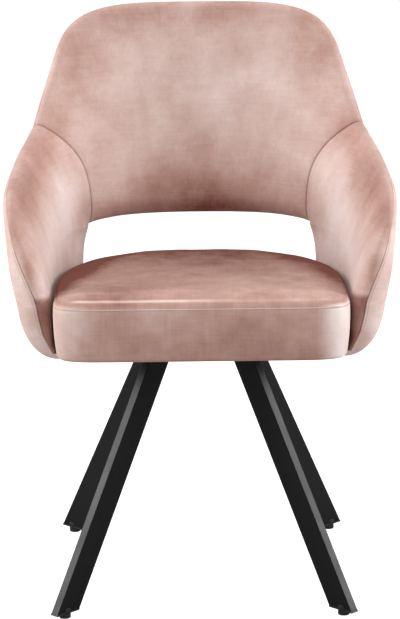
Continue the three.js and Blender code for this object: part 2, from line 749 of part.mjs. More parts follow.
// Core: one moulding over both arms, the back and the band, with its flange
function coreGeometry() {
  const half = [...armGrid];
  backGrid.slice(1).forEach((column, k) => {
    half.push([...bandGrid[k + 1], ...gapRows.map(() => null), ...column]);
  });
  const section = (wall, index) => {
    const foot = wall[0];
    const region = index < armColumnShares.length ? 'arm' : 'band';
    const top = (inset) => underPoint(foot, -inset, flangeTop, region);
    const bottom = (inset) => underPoint(foot, -inset, flangeBottom, region);
    const flange = [
      [top(flangeWidth), bottom(flangeWidth)],
      [top(-bendReach), bottom(-bendOuterReach)],
    ];
    return flange.concat(wall.map((node) => (node ? [coreInner(node), coreOuter(node)] : null)));
  };
  const columns = half.map(section);
  const flip = (pair) => (pair ? pair.map(mirrorPoint) : null);
  const all = columns.concat(columns.slice(0, -1).reverse().map((column) => column.map(flip)));
  const faces = [0, 1].map((side) => all.map((column) => column.map((pair) => pair && pair[side])));
  const lastColumn = all.length - 1;
  const lastRow = all[0].length - 1;
  const flangeRows = columns[0].length - wallRows.length;
  const bandTopRow = flangeRows + bandRows.length - 1;
  const gapTopRow = bandTopRow + gapRows.length + 1;
  const sideColumn = armColumnShares.length - 1 - edgeLines;
  const isFilled = (i, j) => {
    const frontOpen = i < edgeLines || i >= lastColumn - edgeLines;
    const aboveRim = j >= lastRow - edgeLines;
    const acrossGap = i >= sideColumn && i < lastColumn - sideColumn;
    const inGap = acrossGap && j >= bandTopRow - edgeLines && j < gapTopRow + edgeLines;
    return !frontOpen && !aboveRim && !inGap;
  };
  return sheetGeometry(faces[0], faces[1], columns.length - 1, isFilled);
}

// Cushion: rings round the seat's outline, from the board's recess under it to the crown
const cushionMiddleY = (seatRearReach - seatFrontReach) / 2;

function cushionSeamHeight(y) {
  const share = (y + seatFrontReach) / (seatRearReach + seatFrontReach);
  return cushionBottom + cushionFrontHeight - cushionRearDrop * share;
}

function cushionGeometry() {
  const ringAt = (inset, heightOf, scale = 1) => seatOutline(sideGap + inset).map((p) => {
    const x = p.x * scale;
    const y = cushionMiddleY + (p.y - cushionMiddleY) * scale;
    return new THREE.Vector3(x, y, heightOf(p.y, y));
  });
  const level = (z) => () => z;
  const recessTop = boardTop + fitGap;
  const recessInset = boardInset - fitGap;
  const sideLow = cushionBottom + cushionBottomRound;
  const halfTurn = cushionBottomRound * (1 - Math.SQRT1_2);
  const rings = [
    ringAt(recessInset, level(recessTop)),
    ringAt(recessInset, level(cushionBottom)),
    ringAt(cushionBottomRound, level(cushionBottom)),
    ringAt(cushionBulge + halfTurn, level(cushionBottom + halfTurn)),
  ];
  for (const share of sideRiseShares) {
    const bulge = cushionBulge * (1 - Math.sin(Math.PI * share));
    rings.push(ringAt(bulge, (edgeY) => lerp(sideLow, cushionSeamHeight(edgeY), share)));
  }
  const seamInset = cushionBulge + cushionSeamSink;
  rings.push(ringAt(cushionBulge, (edgeY) => cushionSeamHeight(edgeY) - cushionSeamWidth / 2));
  rings.push(ringAt(seamInset, (edgeY) => cushionSeamHeight(edgeY)));
  for (const share of crownRingShares) {
    const rise = cushionCrown * (1 - share ** crownCurve);
    rings.push(ringAt(cushionBulge, (edgeY, y) => cushionSeamHeight(y) + cushionSeamSink + rise, share));
  }
  const count = rings[0].length;
  const points = rings.flat();
  const triangles = [];
  for (let r = 0; r < rings.length - 1; r += 1) {
    for (let k = 0; k < count; k += 1) {
      const next = (k + 1) % count;
      const low = r * count;
      const high = low + count;
      triangles.push([low + k, low + next, high + next], [low + k, high + next, high + k]);
    }
  }
  const crownTop = cushionSeamHeight(cushionMiddleY) + cushionSeamSink + cushionCrown;
  const under = points.length;
  const over = under + 1;
  points.push(new THREE.Vector3(0, cushionMiddleY, recessTop));
  points.push(new THREE.Vector3(0, cushionMiddleY, crownTop));
  const lastRing = (rings.length - 1) * count;
  for (let k = 0; k < count; k += 1) {
    const next = (k + 1) % count;
    triangles.push([under, next, k], [over, lastRing + k, lastRing + next]);
  }
  return closedGeometry(points, triangles);
}

// Fasteners
function boltGeometry(length) {
  const socketFloor = boltSocketDepth - boltHeadHeight;
  return turned([
    [0, socketFloor],
    [boltSocketRadius, socketFloor],
    [boltSocketRadius, -boltHeadHeight],
    [boltHeadRadius - boltChamfer, -boltHeadHeight],
    [boltHeadRadius, boltChamfer - boltHeadHeight],
    [boltHeadRadius, 0],
    [boltRadius, 0],
    [boltRadius, length],
    [0, length],
  ]);
}

function nutGeometry(outer, bore, height) {
  const shape = evenShape(outer, nutSides);
  shape.holes.push(circleHole(0, 0, bore));
  return plate(shape, 0, height);
}

function drill(radius, bottom, top) {
  return toSolid(turned([[0, bottom], [radius, bottom], [radius, top], [0, top]]));
}

const boltPlaces = evenAngles(boltCount).map((angle) => pointOnCircle(boltCircle, angle));

// Places of the screws that hold the shell's flange under the board
function screwPlaces() {
  const right = screwArmShares.map((share) => ['arm', share]).concat([['band', screwBandShare]]);
  return right.flatMap(([region, share]) => {
    const foot = {
      share,
      point: surfaces[region](share, footShareOfWall),
      normal: wallNormal(region, share, footShareOfWall),
    };
    const place = underPoint(foot, -screwInset, flangeBottom, region);
    return [place, mirrorPoint(place)];
  });
}

// Leg frame: four rectangular tubes that lean in to a plate
const legSlope = Math.tan(legLean);

// A leaned tube's section, cut level
function levelOutline(Outline, broad, narrow) {
  const x = broad / Math.cos(legLean) / 2;
  const y = narrow / 2;
  const corners = [[-x, -y], [x, -y], [x, y], [-x, y]];
  return new Outline(corners.map(([across, along]) => new THREE.Vector2(across, along)));
}

function leanedPrism(broad, narrow, bottom, top, hole = null) {
  const shape = levelOutline(THREE.Shape, broad, narrow);
  if (hole) shape.holes.push(levelOutline(THREE.Path, hole.broad, hole.narrow));
  const geometry = plate(shape, bottom, top - bottom);
  const lean = new THREE.Matrix4().set(
    1, 0, -legSlope, footReach,
    0, 1, 0, 0,
    0, 0, 1, 0,
    0, 0, 0, 1,
  );
  geometry.applyMatrix4(lean);
  return geometry;
}

const tubeInside = { broad: tubeBroad - 2 * tubeWall, narrow: tubeNarrow - 2 * tubeWall };
const plugLipBottom = legFootHeight - fitGap - plugLipHeight;
const glideTop = plugLipBottom - fitGap;
const glideReach = footReach - legSlope * plugLipBottom;

function plugGeometry() {
  const plugTop = legFootHeight + plugDepth;
  const lipTopHeight = legFootHeight - fitGap;
  const inside = leanedPrism(
    tubeInside.broad - 2 * fitGap,
    tubeInside.narrow - 2 * fitGap,
    plugLipBottom + plugLipHeight / 2,
    plugTop,
  );
  const lip = leanedPrism(tubeBroad, tubeNarrow, plugLipBottom, lipTopHeight);
  const boreTop = glideTop + glideStemLength + fitGap;
  const bore = drill(glideStemRadius + fitGap, glideTop - cutOverrun, boreTop);
  return toGeometry(toSolid(inside).add(toSolid(lip)).subtract(bore.translate([glideReach, 0, 0])));
}

function glideGeometry() {
  const foot = turned([
    [0, 0],
    [glideFlatRadius, 0],
    [glideRadius, glideRadius - glideFlatRadius],
    [glideRadius, glideTop],
    [glideStemRadius, glideTop],
    [glideStemRadius, glideTop + glideStemLength],
    [0, glideTop + glideStemLength],
  ]);
  foot.translate(glideReach, 0, 0);
  return foot;
}

function legPlateGeometry() {
  const side = legPlateSide / 2;
  const straight = side - legPlateCorner;
  const outline = [];
  for (const angle of evenAngles(legNames.length)) {
    const corner = new THREE.Vector2(straight, straight).rotateAround(new THREE.Vector2(), angle);
    for (let step = 0; step <= cornerSteps; step += 1) {
      const turn = angle + (Math.PI / 2) * (step / cornerSteps);
      outline.push(pointOnCircle(legPlateCorner, turn).add(corner));
    }
  }
  const shape = new THREE.Shape(outline);
  shape.holes.push(circleHole(0, 0, pivotRadius + fitGap));
  for (const place of boltPlaces) shape.holes.push(circleHole(place.x, place.y, boltRadius + fitGap));
  return plate(shape, legPlateBottom, legPlateThickness);
}

function swivelPlateGeometry(bottom, pivotGap) {
  const shape = evenShape(swivelRadius, roundSteps);
  shape.holes.push(circleHole(0, 0, pivotRadius + pivotGap));
  for (const place of boltPlaces) shape.holes.push(circleHole(place.x, place.y, boltRadius + fitGap));
  return plate(shape, bottom, swivelPlateThickness);
}

function ballCageGeometry() {
  const middle = ballBottom + ballDiameter / 2;
  const raceMiddle = (raceInnerRadius + raceOuterRadius) / 2;
  const half = cageThickness / 2;
  const inner = raceMiddle - cageWidth / 2;
  const outer = raceMiddle + cageWidth / 2;
  let cage = toSolid(ring(inner, outer, middle - half, middle + half));
  for (const angle of evenAngles(ballCount)) {
    const place = pointOnCircle(raceMiddle, angle);
    const ball = new THREE.SphereGeometry(ballDiameter / 2, ballSteps, ballRings);
    ball.rotateX(Math.PI / 2);
    ball.translate(place.x, place.y, middle);
    cage = cage.add(toSolid(ball));
  }
  return toGeometry(cage);
}

function pivotGeometry() {
  const seat = legPlateBottom - fitGap;
  const end = upperPlateTop + runGap + pivotNutHeight + pivotEnd;
  return turned([
    [0, seat - pivotHeadHeight],
    [pivotHeadRadius, seat - pivotHeadHeight],
    [pivotHeadRadius, seat],
    [pivotRadius, seat],
    [pivotRadius, end],
    [0, end],
  ], roundSteps);
}

// Seat board, with holes for its tee nuts, the pivot and the shell's screws
const teeNutBoreTop = boardTop - teeNutFlange;

function boardGeometry() {
  const shape = new THREE.Shape(seatOutline(sideGap + boardInset));
  let board = toSolid(plate(shape, boardBottom, boardThickness));
  const low = boardBottom - cutOverrun;
  const high = boardTop + cutOverrun;
  board = board.subtract(drill(pivotNutRadius + pivotHoleGap, low, high));
  for (const place of boltPlaces) {
    const bore = drill(teeNutBarrelRadius + fitGap, low, high);
    const sink = drill(teeNutRadius + fitGap, teeNutBoreTop - fitGap, high);
    board = board.subtract(bore.add(sink).translate([place.x, place.y, 0]));
  }
  for (const place of screwPlaces()) {
    const pilot = drill(screwRadius + fitGap, low, boardBottom + screwLength + fitGap);
    board = board.subtract(pilot.translate([place.x, place.y, 0]));
  }
  return toGeometry(board);
}

function teeNutGeometry() {
  const bore = boltRadius + fitGap;
  const bottom = boardTop - teeNutBarrelLength;
  return turned([
    [bore, bottom],
    [teeNutBarrelRadius, bottom],
    [teeNutBarrelRadius, teeNutBoreTop],
    [teeNutRadius, teeNutBoreTop],
    [teeNutRadius, boardTop],
    [bore, boardTop],
    [bore, bottom],
  ]);
}

function dustCoverGeometry() {
  const shape = new THREE.Shape(seatOutline(flangeWidth + dustEdgeGap));
  shape.holes.push(circleHole(0, 0, swivelRadius + dustHoleGap));
  return plate(shape, boardBottom - fitGap - dustThickness, dustThickness);
}

function screwGeometry() {
  const seat = flangeBottom - fitGap;
  const end = boardBottom + screwLength;
  return turned([
    [0, seat - screwHeadHeight],
    [screwHeadRadius, seat - screwHeadHeight],
    [screwHeadRadius, seat],
    [screwRadius, seat],
    [screwRadius, end],
    [0, end],
  ]);
}

function drilledCore() {
  let core = toSolid(coreGeometry());
  for (const place of screwPlaces()) {
    const hole = drill(screwRadius + fitGap, flangeBottom - cutOverrun, flangeTop + cutOverrun);
    core = core.subtract(hole.translate([place.x, place.y, 0]));
  }
  return toGeometry(core);
}

// Assembly
function legFrame() {
  const frame = new THREE.Group();
  const tube = leanedPrism(tubeBroad, tubeNarrow, legFootHeight, legTopHeight, tubeInside);
  const plug = plugGeometry();
  const glide = glideGeometry();
  legNames.forEach((side, k) => {
    const leg = new THREE.Group();
    leg.add(piece(`leg_tube_${side}`, tube, 'blackPaint'));
    leg.add(piece(`foot_plug_${side}`, plug, 'blackPlastic'));
    leg.add(piece(`glide_${side}`, glide, 'blackPlastic'));
    leg.rotation.z = Math.PI / 4 + (2 * Math.PI * k) / legNames.length;
    frame.add(leg);
  });
  frame.add(piece('leg_plate', legPlateGeometry(), 'blackPaint'));
  frame.add(piece('swivel_lower_plate', swivelPlateGeometry(lowerPlateBottom, fitGap), 'zinc'));
  const race = ring(raceInnerRadius, raceOuterRadius, lowerRaceBottom, lowerRaceTop);
  frame.add(piece('bearing_lower_race', race, 'zinc'));
  frame.add(piece('ball_cage', ballCageGeometry(), 'zinc'));
  frame.add(piece('pivot_bolt', pivotGeometry(), 'zinc'));
  const pivotNut = nutGeometry(pivotNutRadius, pivotRadius + fitGap, pivotNutHeight);
  pivotNut.translate(0, 0, upperPlateTop + runGap);
  frame.add(piece('pivot_nut', pivotNut, 'zinc'));
  const nutTop = legPlateBottom - fitGap;
  const boltSeat = lowerPlateTop + fitGap;
  const boltLength = boltSeat - nutTop + nutHeight + boltEnd;
  const frameNut = nutGeometry(nutRadius, boltRadius + fitGap, nutHeight);
  boltPlaces.forEach((place, k) => {
    const bolt = piece(`frame_bolt_${k + 1}`, boltGeometry(boltLength), 'zinc');
    bolt.rotation.x = Math.PI;
    bolt.position.set(place.x, place.y, boltSeat);
    const nut = piece(`frame_nut_${k + 1}`, frameNut, 'zinc');
    nut.position.set(place.x, place.y, nutTop - nutHeight);
    frame.add(bolt, nut);
  });
  return frame;
}

function seatBase() {
  const seat = new THREE.Group();
  const race = ring(raceInnerRadius, raceOuterRadius, upperRaceBottom, upperRaceTop);
  seat.add(piece('bearing_upper_race', race, 'zinc'));
  seat.add(piece('swivel_upper_plate', swivelPlateGeometry(upperPlateBottom, runGap), 'zinc'));
  const boltSeat = upperPlateBottom - fitGap;
  boltPlaces.forEach((place, k) => {
    const bolt = piece(`seat_bolt_${k + 1}`, boltGeometry(boardTop - boltSeat - boltEnd), 'zinc');
    bolt.position.set(place.x, place.y, boltSeat);
    const teeNut = piece(`tee_nut_${k + 1}`, teeNutGeometry(), 'zinc');
    teeNut.position.set(place.x, place.y, 0);
    seat.add(bolt, teeNut);
  });
  seat.add(piece('seat_board', boardGeometry(), 'plywood'));
  seat.add(piece('dust_cover', dustCoverGeometry(), 'dustCloth'));
  seat.add(piece('seat_cushion', cushionGeometry(), 'velvetSeat'));
  return seat;
}

function shell() {
  const group = new THREE.Group();
  group.add(piece('shell_core', drilledCore(), 'shellPlastic'));
  const innerArms = armPads(innerColumns(armGrid, 'arm'));
  const outerArms = armPads(outerColumns(armGrid, 'arm'));
  for (const side of ['left', 'right']) {
    group.add(piece(`inner_arm_pad_${side}`, innerArms[side], 'velvet'));
    group.add(piece(`outer_arm_cover_${side}`, outerArms[side], 'velvet'));
  }
  const backPadOf = (make) => middlePad(backGrid.map((column) => column.map(make)));
  group.add(piece('inner_back_pad', backPadOf(innerPad), 'velvet'));
  group.add(piece('outer_back_cover', backPadOf(outerPad), 'velvet'));
  group.add(piece('inner_band_pad', middlePad(innerColumns(bandGrid, 'band')), 'velvet'));
  group.add(piece('outer_band_cover', middlePad(outerColumns(bandGrid, 'band')), 'velvet'));
  screwPlaces().forEach((place, k) => {
    const screw = piece(`shell_screw_${k + 1}`, screwGeometry(), 'zinc');
    screw.position.set(place.x, place.y, 0);
    group.add(screw);
  });
  return group;
}

const chair = new THREE.Group();
chair.add(legFrame(), seatBase(), shell());
chair.updateMatrixWorld(true);
const middle = new THREE.Box3().setFromObject(chair).getCenter(new THREE.Vector3());
chair.position.set(-middle.x, -middle.y, 0);

export default chair;
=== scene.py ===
"""Velvet armchair on four leaning tube legs: pads, cushion, finishes, light and camera.

Sizes are in millimetres from the swivel axis at floor level, and become metres in the chair's own
frame when a mesh is made. The chair faces -Y and +Z is up. Left and right are as seen from the front.
"""

import json
import logging
import math
from dataclasses import dataclass, field
from enum import Enum
from typing import Callable, Optional, Sequence

import bmesh
import bpy
from mathutils import Matrix, Vector

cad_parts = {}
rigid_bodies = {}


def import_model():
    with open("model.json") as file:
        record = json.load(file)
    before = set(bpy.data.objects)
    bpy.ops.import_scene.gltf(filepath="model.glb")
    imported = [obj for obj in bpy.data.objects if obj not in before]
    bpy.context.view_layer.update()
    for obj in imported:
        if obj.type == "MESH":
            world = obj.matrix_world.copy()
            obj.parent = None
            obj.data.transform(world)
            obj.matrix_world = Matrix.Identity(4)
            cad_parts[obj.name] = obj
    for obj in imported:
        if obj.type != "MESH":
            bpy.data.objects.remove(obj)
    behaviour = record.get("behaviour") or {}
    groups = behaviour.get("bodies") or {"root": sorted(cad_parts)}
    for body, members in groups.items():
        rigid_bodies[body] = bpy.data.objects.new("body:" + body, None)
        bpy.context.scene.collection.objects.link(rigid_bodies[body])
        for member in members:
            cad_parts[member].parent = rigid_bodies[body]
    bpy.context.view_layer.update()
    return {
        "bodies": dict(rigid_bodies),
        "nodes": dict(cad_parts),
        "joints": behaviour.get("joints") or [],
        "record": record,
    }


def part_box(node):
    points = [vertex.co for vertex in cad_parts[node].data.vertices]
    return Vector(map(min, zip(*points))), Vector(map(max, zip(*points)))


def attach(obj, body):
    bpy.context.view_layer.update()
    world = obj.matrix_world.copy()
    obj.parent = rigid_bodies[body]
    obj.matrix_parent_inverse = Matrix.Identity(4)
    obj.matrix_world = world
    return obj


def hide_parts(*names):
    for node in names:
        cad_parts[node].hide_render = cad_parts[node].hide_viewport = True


log = logging.getLogger("armchair")

MM = 0.001
FIT_GAP = 0.3  # left between two pieces that lie against each other
END_TURNS = (0, 2.5, 5, 8, 12, 18, 26, 36, 48, 62, 76, 90)  # degrees round a rounded end

Grid = list[list[Vector]]


class Body(Enum):
    """The bodies that the pieces ride on."""

    LEGS = "leg_frame"
    SEAT = "seat"


class Region(Enum):
    """The parts of the padded wall."""

    ARM = "arm"
    BACK = "back"
    BAND = "band"


class Side(Enum):
    """Which side of the chair a piece is on."""

    LEFT = -1
    RIGHT = 1


class Face(Enum):
    """Which face of the wall a panel covers."""

    INNER = "inner"
    OUTER = "outer"


def lerp(a: float, b: float, share: float) -> float:
    """Gives the value that lies a share of the way from a to b."""
    return a + (b - a) * share


def clamp(value: float) -> float:
    """Keeps a value between 0 and 1."""
    return min(max(value, 0.0), 1.0)


def smooth(value: float) -> float:
    """Eases a value from 0 to 1."""
    t = clamp(value)
    return t * t * (3 - 2 * t)


def rounding(distance: float, radius: float) -> float:
    """Gives how full a padded edge is.

    Args:
        distance: Distance from the edge.
        radius: Radius of the edge.

    Returns:
        0 at the edge, rising as a quarter circle to 1 a radius away.
    """
    return math.sqrt(max(0.0, 1 - (1 - clamp(distance / radius)) ** 2))


def spread(length: float, start: float, end: float, step: float) -> list[float]:
    """Spaces grid lines along a length, closer together where its ends are rounded.

    Args:
        length: The length to divide.
        start: Radius of the rounded start, or 0 where it is plain.
        end: Radius of the rounded end, or 0 where it is plain.
        step: Spacing between the rounded ends.

    Returns:
        Shares from 0 to 1.
    """
    turns = [math.radians(a) for a in END_TURNS]
    lines = [start * (1 - math.cos(a)) for a in turns] if start else [0.0]
    tail = [length - end * (1 - math.cos(a)) for a in turns[::-1]] if end else [length]
    count = max(1, round((tail[0] - lines[-1]) / step))
    between = [lerp(lines[-1], tail[0], k / count) for k in range(1, count)]
    return [value / length for value in lines + between + tail]


@dataclass(frozen=True)
class ShellForm:
    """The wall of the shell: arms, back and the band behind the seat.

    The inner face is a surface over a share (across) and a rise (up), worked out for the right-hand
    side. An arm's shares run from its front edge to the seam, the back's and the band's from the
    seam to the middle. Reaches run from the swivel axis, half widths from the middle, and curves are
    powers.
    """

    seat_half_width: float = 226.0
    seat_front_reach: float = 262.0
    seat_rear_reach: float = 194.0
    shoulder_reach: float = 100.0
    rear_curve: float = 2.4
    front_curve: float = 11.0
    side_gap: float = 3.0
    wall_low: float = 428.0
    wall_foot: float = 448.0
    band_top: float = 468.0
    gap_top: float = 549.0
    arm_join: float = 705.0
    arm_tip: float = 600.0
    back_top: float = 884.0
    arm_tip_round: float = 22.0
    arm_front_reach: float = 200.0
    arm_tip_reach: float = 150.0
    arm_tip_half_width: float = 289.0
    arm_join_half_width: float = 257.0
    gap_half_width: float = 180.0
    seam_waist: float = 8.0
    corner_drop: float = 10.0
    corner_rise: float = 90.0
    corner_fall: float = 45.0
    corner_spread: float = 45.0
    back_base_reach: float = 200.0
    back_recline: float = math.radians(13.5)
    back_wrap: float = 93.0
    back_wrap_at_top: float = 29.5
    back_wrap_half_width: float = 230.0
    back_half_width_at_top: float = 204.5
    corner_start: float = 790.0
    thick_low: float = 50.0
    thick_rim: float = 22.0
    foot_tuck: float = 18.0
    rim_steps: int = 240
    rim_squareness: float = 4.2
    wrap_curve: float = 2.5
    widening_at_seam: float = 3.0
    widening_fade: float = 1.5
    waist_ease: float = 0.07
    waist_curve: float = 3.5
    tip_round_share: float = 0.3
    tip_round_curve: float = 2.2
    flare_start: float = 0.33
    flare_curve: float = 1.45
    rake_at_front: float = 4.5
    rake_at_seam: float = 1.6
    corner_curve: float = 7.0
    seam_share: float = 0.2
    thin_from: float = 0.4
    thin_curve: float = 1.85
    tuck_to: float = 0.42
    front_start: float = 40.0
    front_run: float = 140.0
    normal_step: float = 0.004

    def __post_init__(self) -> None:
        """Measures the back's outline once."""
        outline, power = [], self.rim_squareness
        for k in range(self.rim_steps + 1):
            turn = math.sin(math.pi / 2 * k / self.rim_steps)
            z = lerp(self.arm_join, self.back_top, turn)
            share = (z - self.arm_join) / (self.back_top - self.arm_join)
            over = clamp((z - self.corner_start) / (self.back_top - self.corner_start))
            side = lerp(self.arm_join_half_width, self.back_half_width_at_top, share)
            outline.append(Vector((side * (1 - over**power) ** (1 / power), z)))
        runs = [0.0]
        for a, b in zip(outline, outline[1:]):
            runs.append(runs[-1] + (b - a).length)
        object.__setattr__(self, "_outline", outline)
        object.__setattr__(self, "_runs", runs)

    @property
    def wall_half_width(self) -> float:
        """Half width between the arms' inner faces at the seat."""
        return self.seat_half_width + self.side_gap

    @property
    def wall_rear_reach(self) -> float:
        """Swivel axis to the band's inner face."""
        return self.seat_rear_reach + self.side_gap

    @property
    def seam_base(self) -> float:
        """Half width of the seam where it meets the opening."""
        return self.gap_half_width - self.seam_waist

    @property
    def gap_share(self) -> float:
        """Rise of the back's lower edge."""
        return (self.gap_top - self.wall_low) / (self.arm_join - self.wall_low)

    @property
    def band_share(self) -> float:
        """Rise of the band's top."""
        return (self.band_top - self.wall_low) / (self.arm_join - self.wall_low)

    @property
    def foot_share(self) -> float:
        """Rise at which the outer face starts to round under."""
        return (self.wall_foot - self.wall_low) / (self.arm_join - self.wall_low)

    def outline(self, inset: float, angle: float) -> Vector:
        """Gives a point of the seat's plan.

        Args:
            inset: Distance inside the arms' inner face.
            angle: Place round the plan, from the front's middle at a quarter turn below 0.

        Returns:
            The point, as x and y.
        """
        rear = self.wall_rear_reach - inset + self.shoulder_reach
        front = self.seat_front_reach + self.side_gap - inset - self.shoulder_reach
        curve = self.rear_curve if angle >= 0 else self.front_curve
        along = abs(math.sin(angle)) ** (2 / curve)
        across = abs(math.cos(angle)) ** (2 / curve)
        depth = rear * along if angle >= 0 else -front * along
        return Vector(((self.wall_half_width - inset) * across, depth - self.shoulder_reach))

    def near_front(self, y: float) -> float:
        """Gives how near the seat's front a depth lies, from 0 to 1."""
        return smooth((-y - self.front_start) / self.front_run)

    def opening_side_y(self) -> float:
        """Gives the depth of the opening's side at the seat."""
        angle = math.acos((self.gap_half_width / self.wall_half_width) ** (self.rear_curve / 2))
        return self.outline(0, angle).y

    def back_depth(self, x: float, z: float) -> float:
        """Gives how far behind the axis the back's face lies at a half width and a height.

        Args:
            x: Half width.
            z: Height.

        Returns:
            The depth.
        """
        rise = z - self.gap_top
        wrap = lerp(self.back_wrap, self.back_wrap_at_top, rise / (self.back_top - self.gap_top))
        lean = self.back_base_reach + math.tan(self.back_recline) * rise
        return lean - wrap * (abs(x) / self.back_wrap_half_width) ** self.wrap_curve

    def seam_half_width(self, z: float) -> float:
        """Gives the half width of the seam between arm and back at a height.

        Args:
            z: Height.

        Returns:
            The half width: waisted at the opening, then widening.
        """
        fall = clamp((self.gap_top - z) / (self.gap_top - self.band_top))
        fall = fall * fall / (fall + self.waist_ease)
        waist = self.seam_waist * (1 - (1 - fall) ** self.waist_curve)
        share = clamp((z - self.gap_top) / (self.arm_join - self.gap_top))
        return self.seam_base + waist + (self.arm_join_half_width - self.seam_base) * share**3

    def seam_depth(self, z: float) -> float:
        """Gives how far behind the axis the seam lies at a height.

        Args:
            z: Height.

        Returns:
            The depth.
        """
        on_back = self.back_depth(self.seam_half_width(z), max(z, self.gap_top))
        blend = smooth((z - self.band_top) / (self.gap_top - self.band_top))
        return lerp(self.opening_side_y(), on_back, blend)

    def seat_line(self, share: float) -> Vector:
        """Gives the arm's foot on the seat's plan.

        Args:
            share: Place along the arm, from its front edge.

        Returns:
            The foot, as x and y.
        """
        y = lerp(-self.arm_front_reach, self.opening_side_y(), share)
        along = clamp((y + self.shoulder_reach) / (self.wall_rear_reach + self.shoulder_reach))
        across = (1 - along**self.rear_curve) ** (1 / self.rear_curve)
        return Vector((self.wall_half_width * across, y))

    def arm_rim(self, share: float) -> Vector:
        """Gives the arm's rim.

        Args:
            share: Place along the arm, from its front edge.

        Returns:
            The rim's point.
        """
        drop = self.arm_tip_round * (1 - clamp(share / self.tip_round_share)) ** self.tip_round_curve
        return Vector(
            (
                lerp(self.arm_tip_half_width, self.arm_join_half_width, share**2),
                lerp(-self.arm_tip_reach, self.seam_depth(self.arm_join), share),
                lerp(self.arm_tip + self.arm_tip_round, self.arm_join, share) - drop,
            )
        )

    def flare(self, z: float, rim_z: float) -> float:
        """Gives how far the arm leans out at a height, from 0 at its foot to 1 at its rim."""
        start = lerp(self.wall_low, rim_z, self.flare_start)
        return clamp((z - start) / (rim_z - start)) ** self.flare_curve

    def arm_point(self, share: float, rise: float) -> Vector:
        """Gives a point of an arm's inner face, which is drawn to the back's face at their seam.

        Args:
            share: Place along the arm.
            rise: Place up it, from 0 to 1.

        Returns:
            The point.
        """
        foot, rim = self.seat_line(share), self.arm_rim(share)
        z = lerp(self.wall_low, rim.z, rise)
        rake = rise ** lerp(self.rake_at_front, self.rake_at_seam, share)
        seam_z = lerp(self.wall_low, self.arm_join, rise)
        last_foot, last_rim = self.seat_line(1), self.arm_rim(1)
        last_x = lerp(last_foot.x, last_rim.x, self.flare(seam_z, self.arm_join))
        last_y = lerp(last_foot.y, last_rim.y, rise**self.rake_at_seam)
        pull = share**3
        x = lerp(foot.x, rim.x, self.flare(z, rim.z)) + (self.seam_half_width(seam_z) - last_x) * pull
        y = lerp(foot.y, rim.y, rake) + (self.seam_depth(seam_z) - last_y) * pull
        return Vector((x, y, z))

    def back_rim(self, share: float) -> Vector:
        """Gives the back's outline, as a half width and a height, at a share of its length.

        Args:
            share: Place along the rim, from the seam to the middle.

        Returns:
            Half width and height.
        """
        run = share * self._runs[-1]
        low, high = 0, self.rim_steps
        while high - low > 1:
            middle = (low + high) // 2
            low, high = (middle, high) if self._runs[middle] < run else (low, middle)
        part = (run - self._runs[low]) / (self._runs[high] - self._runs[low])
        return self._outline[low].lerp(self._outline[high], part)

    def back_point(self, share: float, rise: float) -> Vector:
        """Gives a point of the back's inner face.

        Args:
            share: Place from the seam to the middle.
            rise: Place up it, from 0 to 1.

        Returns:
            The point.
        """
        rim = self.back_rim(share)
        z = lerp(self.gap_top, rim.y, rise)
        curve = lerp(1, self.widening_at_seam, (1 - share) ** self.widening_fade)
        x = lerp(self.seam_base * (1 - share), rim.x, max(rise, 0.0) ** curve)
        return Vector((x, self.back_depth(x, z), z))

    def band_point(self, share: float, rise: float) -> Vector:
        """Gives a point of the band's inner face.

        Args:
            share: Place from the seam to the middle.
            rise: Place up it, from 0 to 1.

        Returns:
            The point.
        """
        x = self.gap_half_width * (1 - share)
        along = (1 - (x / self.wall_half_width) ** self.rear_curve) ** (1 / self.rear_curve)
        y = along * (self.wall_rear_reach + self.shoulder_reach) - self.shoulder_reach
        return Vector((x, y, lerp(self.wall_low, self.arm_join, rise)))

    def sink_corner(self, point: Vector) -> Vector:
        """Sinks the wall towards the opening's upper corner, which is round.

        Args:
            point: A point of the inner face.

        Returns:
            The point, lowered where it is near the corner.
        """
        beyond = point.x - self.seam_base
        across = (point.x / self.seam_base) ** self.corner_curve
        if beyond > 0:
            across = 1 - smooth(beyond / self.corner_spread)
        above = point.z - self.gap_top
        reach = self.corner_rise if above > 0 else self.corner_fall
        drop = self.corner_drop * across * (1 - smooth(abs(above) / reach))
        return Vector((point.x, point.y, point.z - drop))

    def surface(self, region: Region, share: float, rise: float) -> Vector:
        """Gives a point of the inner face.

        Args:
            region: Part of the wall.
            share: Place across it.
            rise: Place up it; 0 is the inner panels' lower edge and 1 the rim.

        Returns:
            The point.
        """
        if region is Region.ARM:
            return self.sink_corner(self.arm_point(share, rise))
        if region is Region.BACK:
            return self.sink_corner(self.back_point(share, (rise - self.gap_share) / (1 - self.gap_share)))
        return self.band_point(share, rise)

    def face_normal(self, region: Region, share: float, rise: float) -> Vector:
        """Gives the direction out of the inner face, away from the sitter.

        Args:
            region: Part of the wall.
            share: Place across the region, from 0 to 1.
            rise: Place up it, from 0 to 1.

        Returns:
            The direction, from the slopes beside.
        """
        step = self.normal_step
        lowest = self.gap_share if region is Region.BACK else 0.0
        s0, s1 = max(share - step, 0), min(share + step, 1)
        r0, r1 = max(rise - step, lowest), min(rise + step, 1)
        across = self.surface(region, s1, rise) - self.surface(region, s0, rise)
        up = self.surface(region, share, r1) - self.surface(region, share, r0)
        return across.cross(up).normalized()

    def seam_normal(self, rise: float) -> Vector:
        """Gives the direction that the panels beside the seam share.

        Args:
            rise: Place up the seam, from 0 to 1.

        Returns:
            The direction.
        """
        arm = self.face_normal(Region.ARM, 1, rise)
        back = self.face_normal(Region.BACK, 0, max(rise, self.gap_share))
        band = self.face_normal(Region.BAND, 0, min(rise, self.band_share))
        blend = clamp((rise - self.band_share) / (self.gap_share - self.band_share))
        return (arm + band.lerp(back, blend)).normalized()

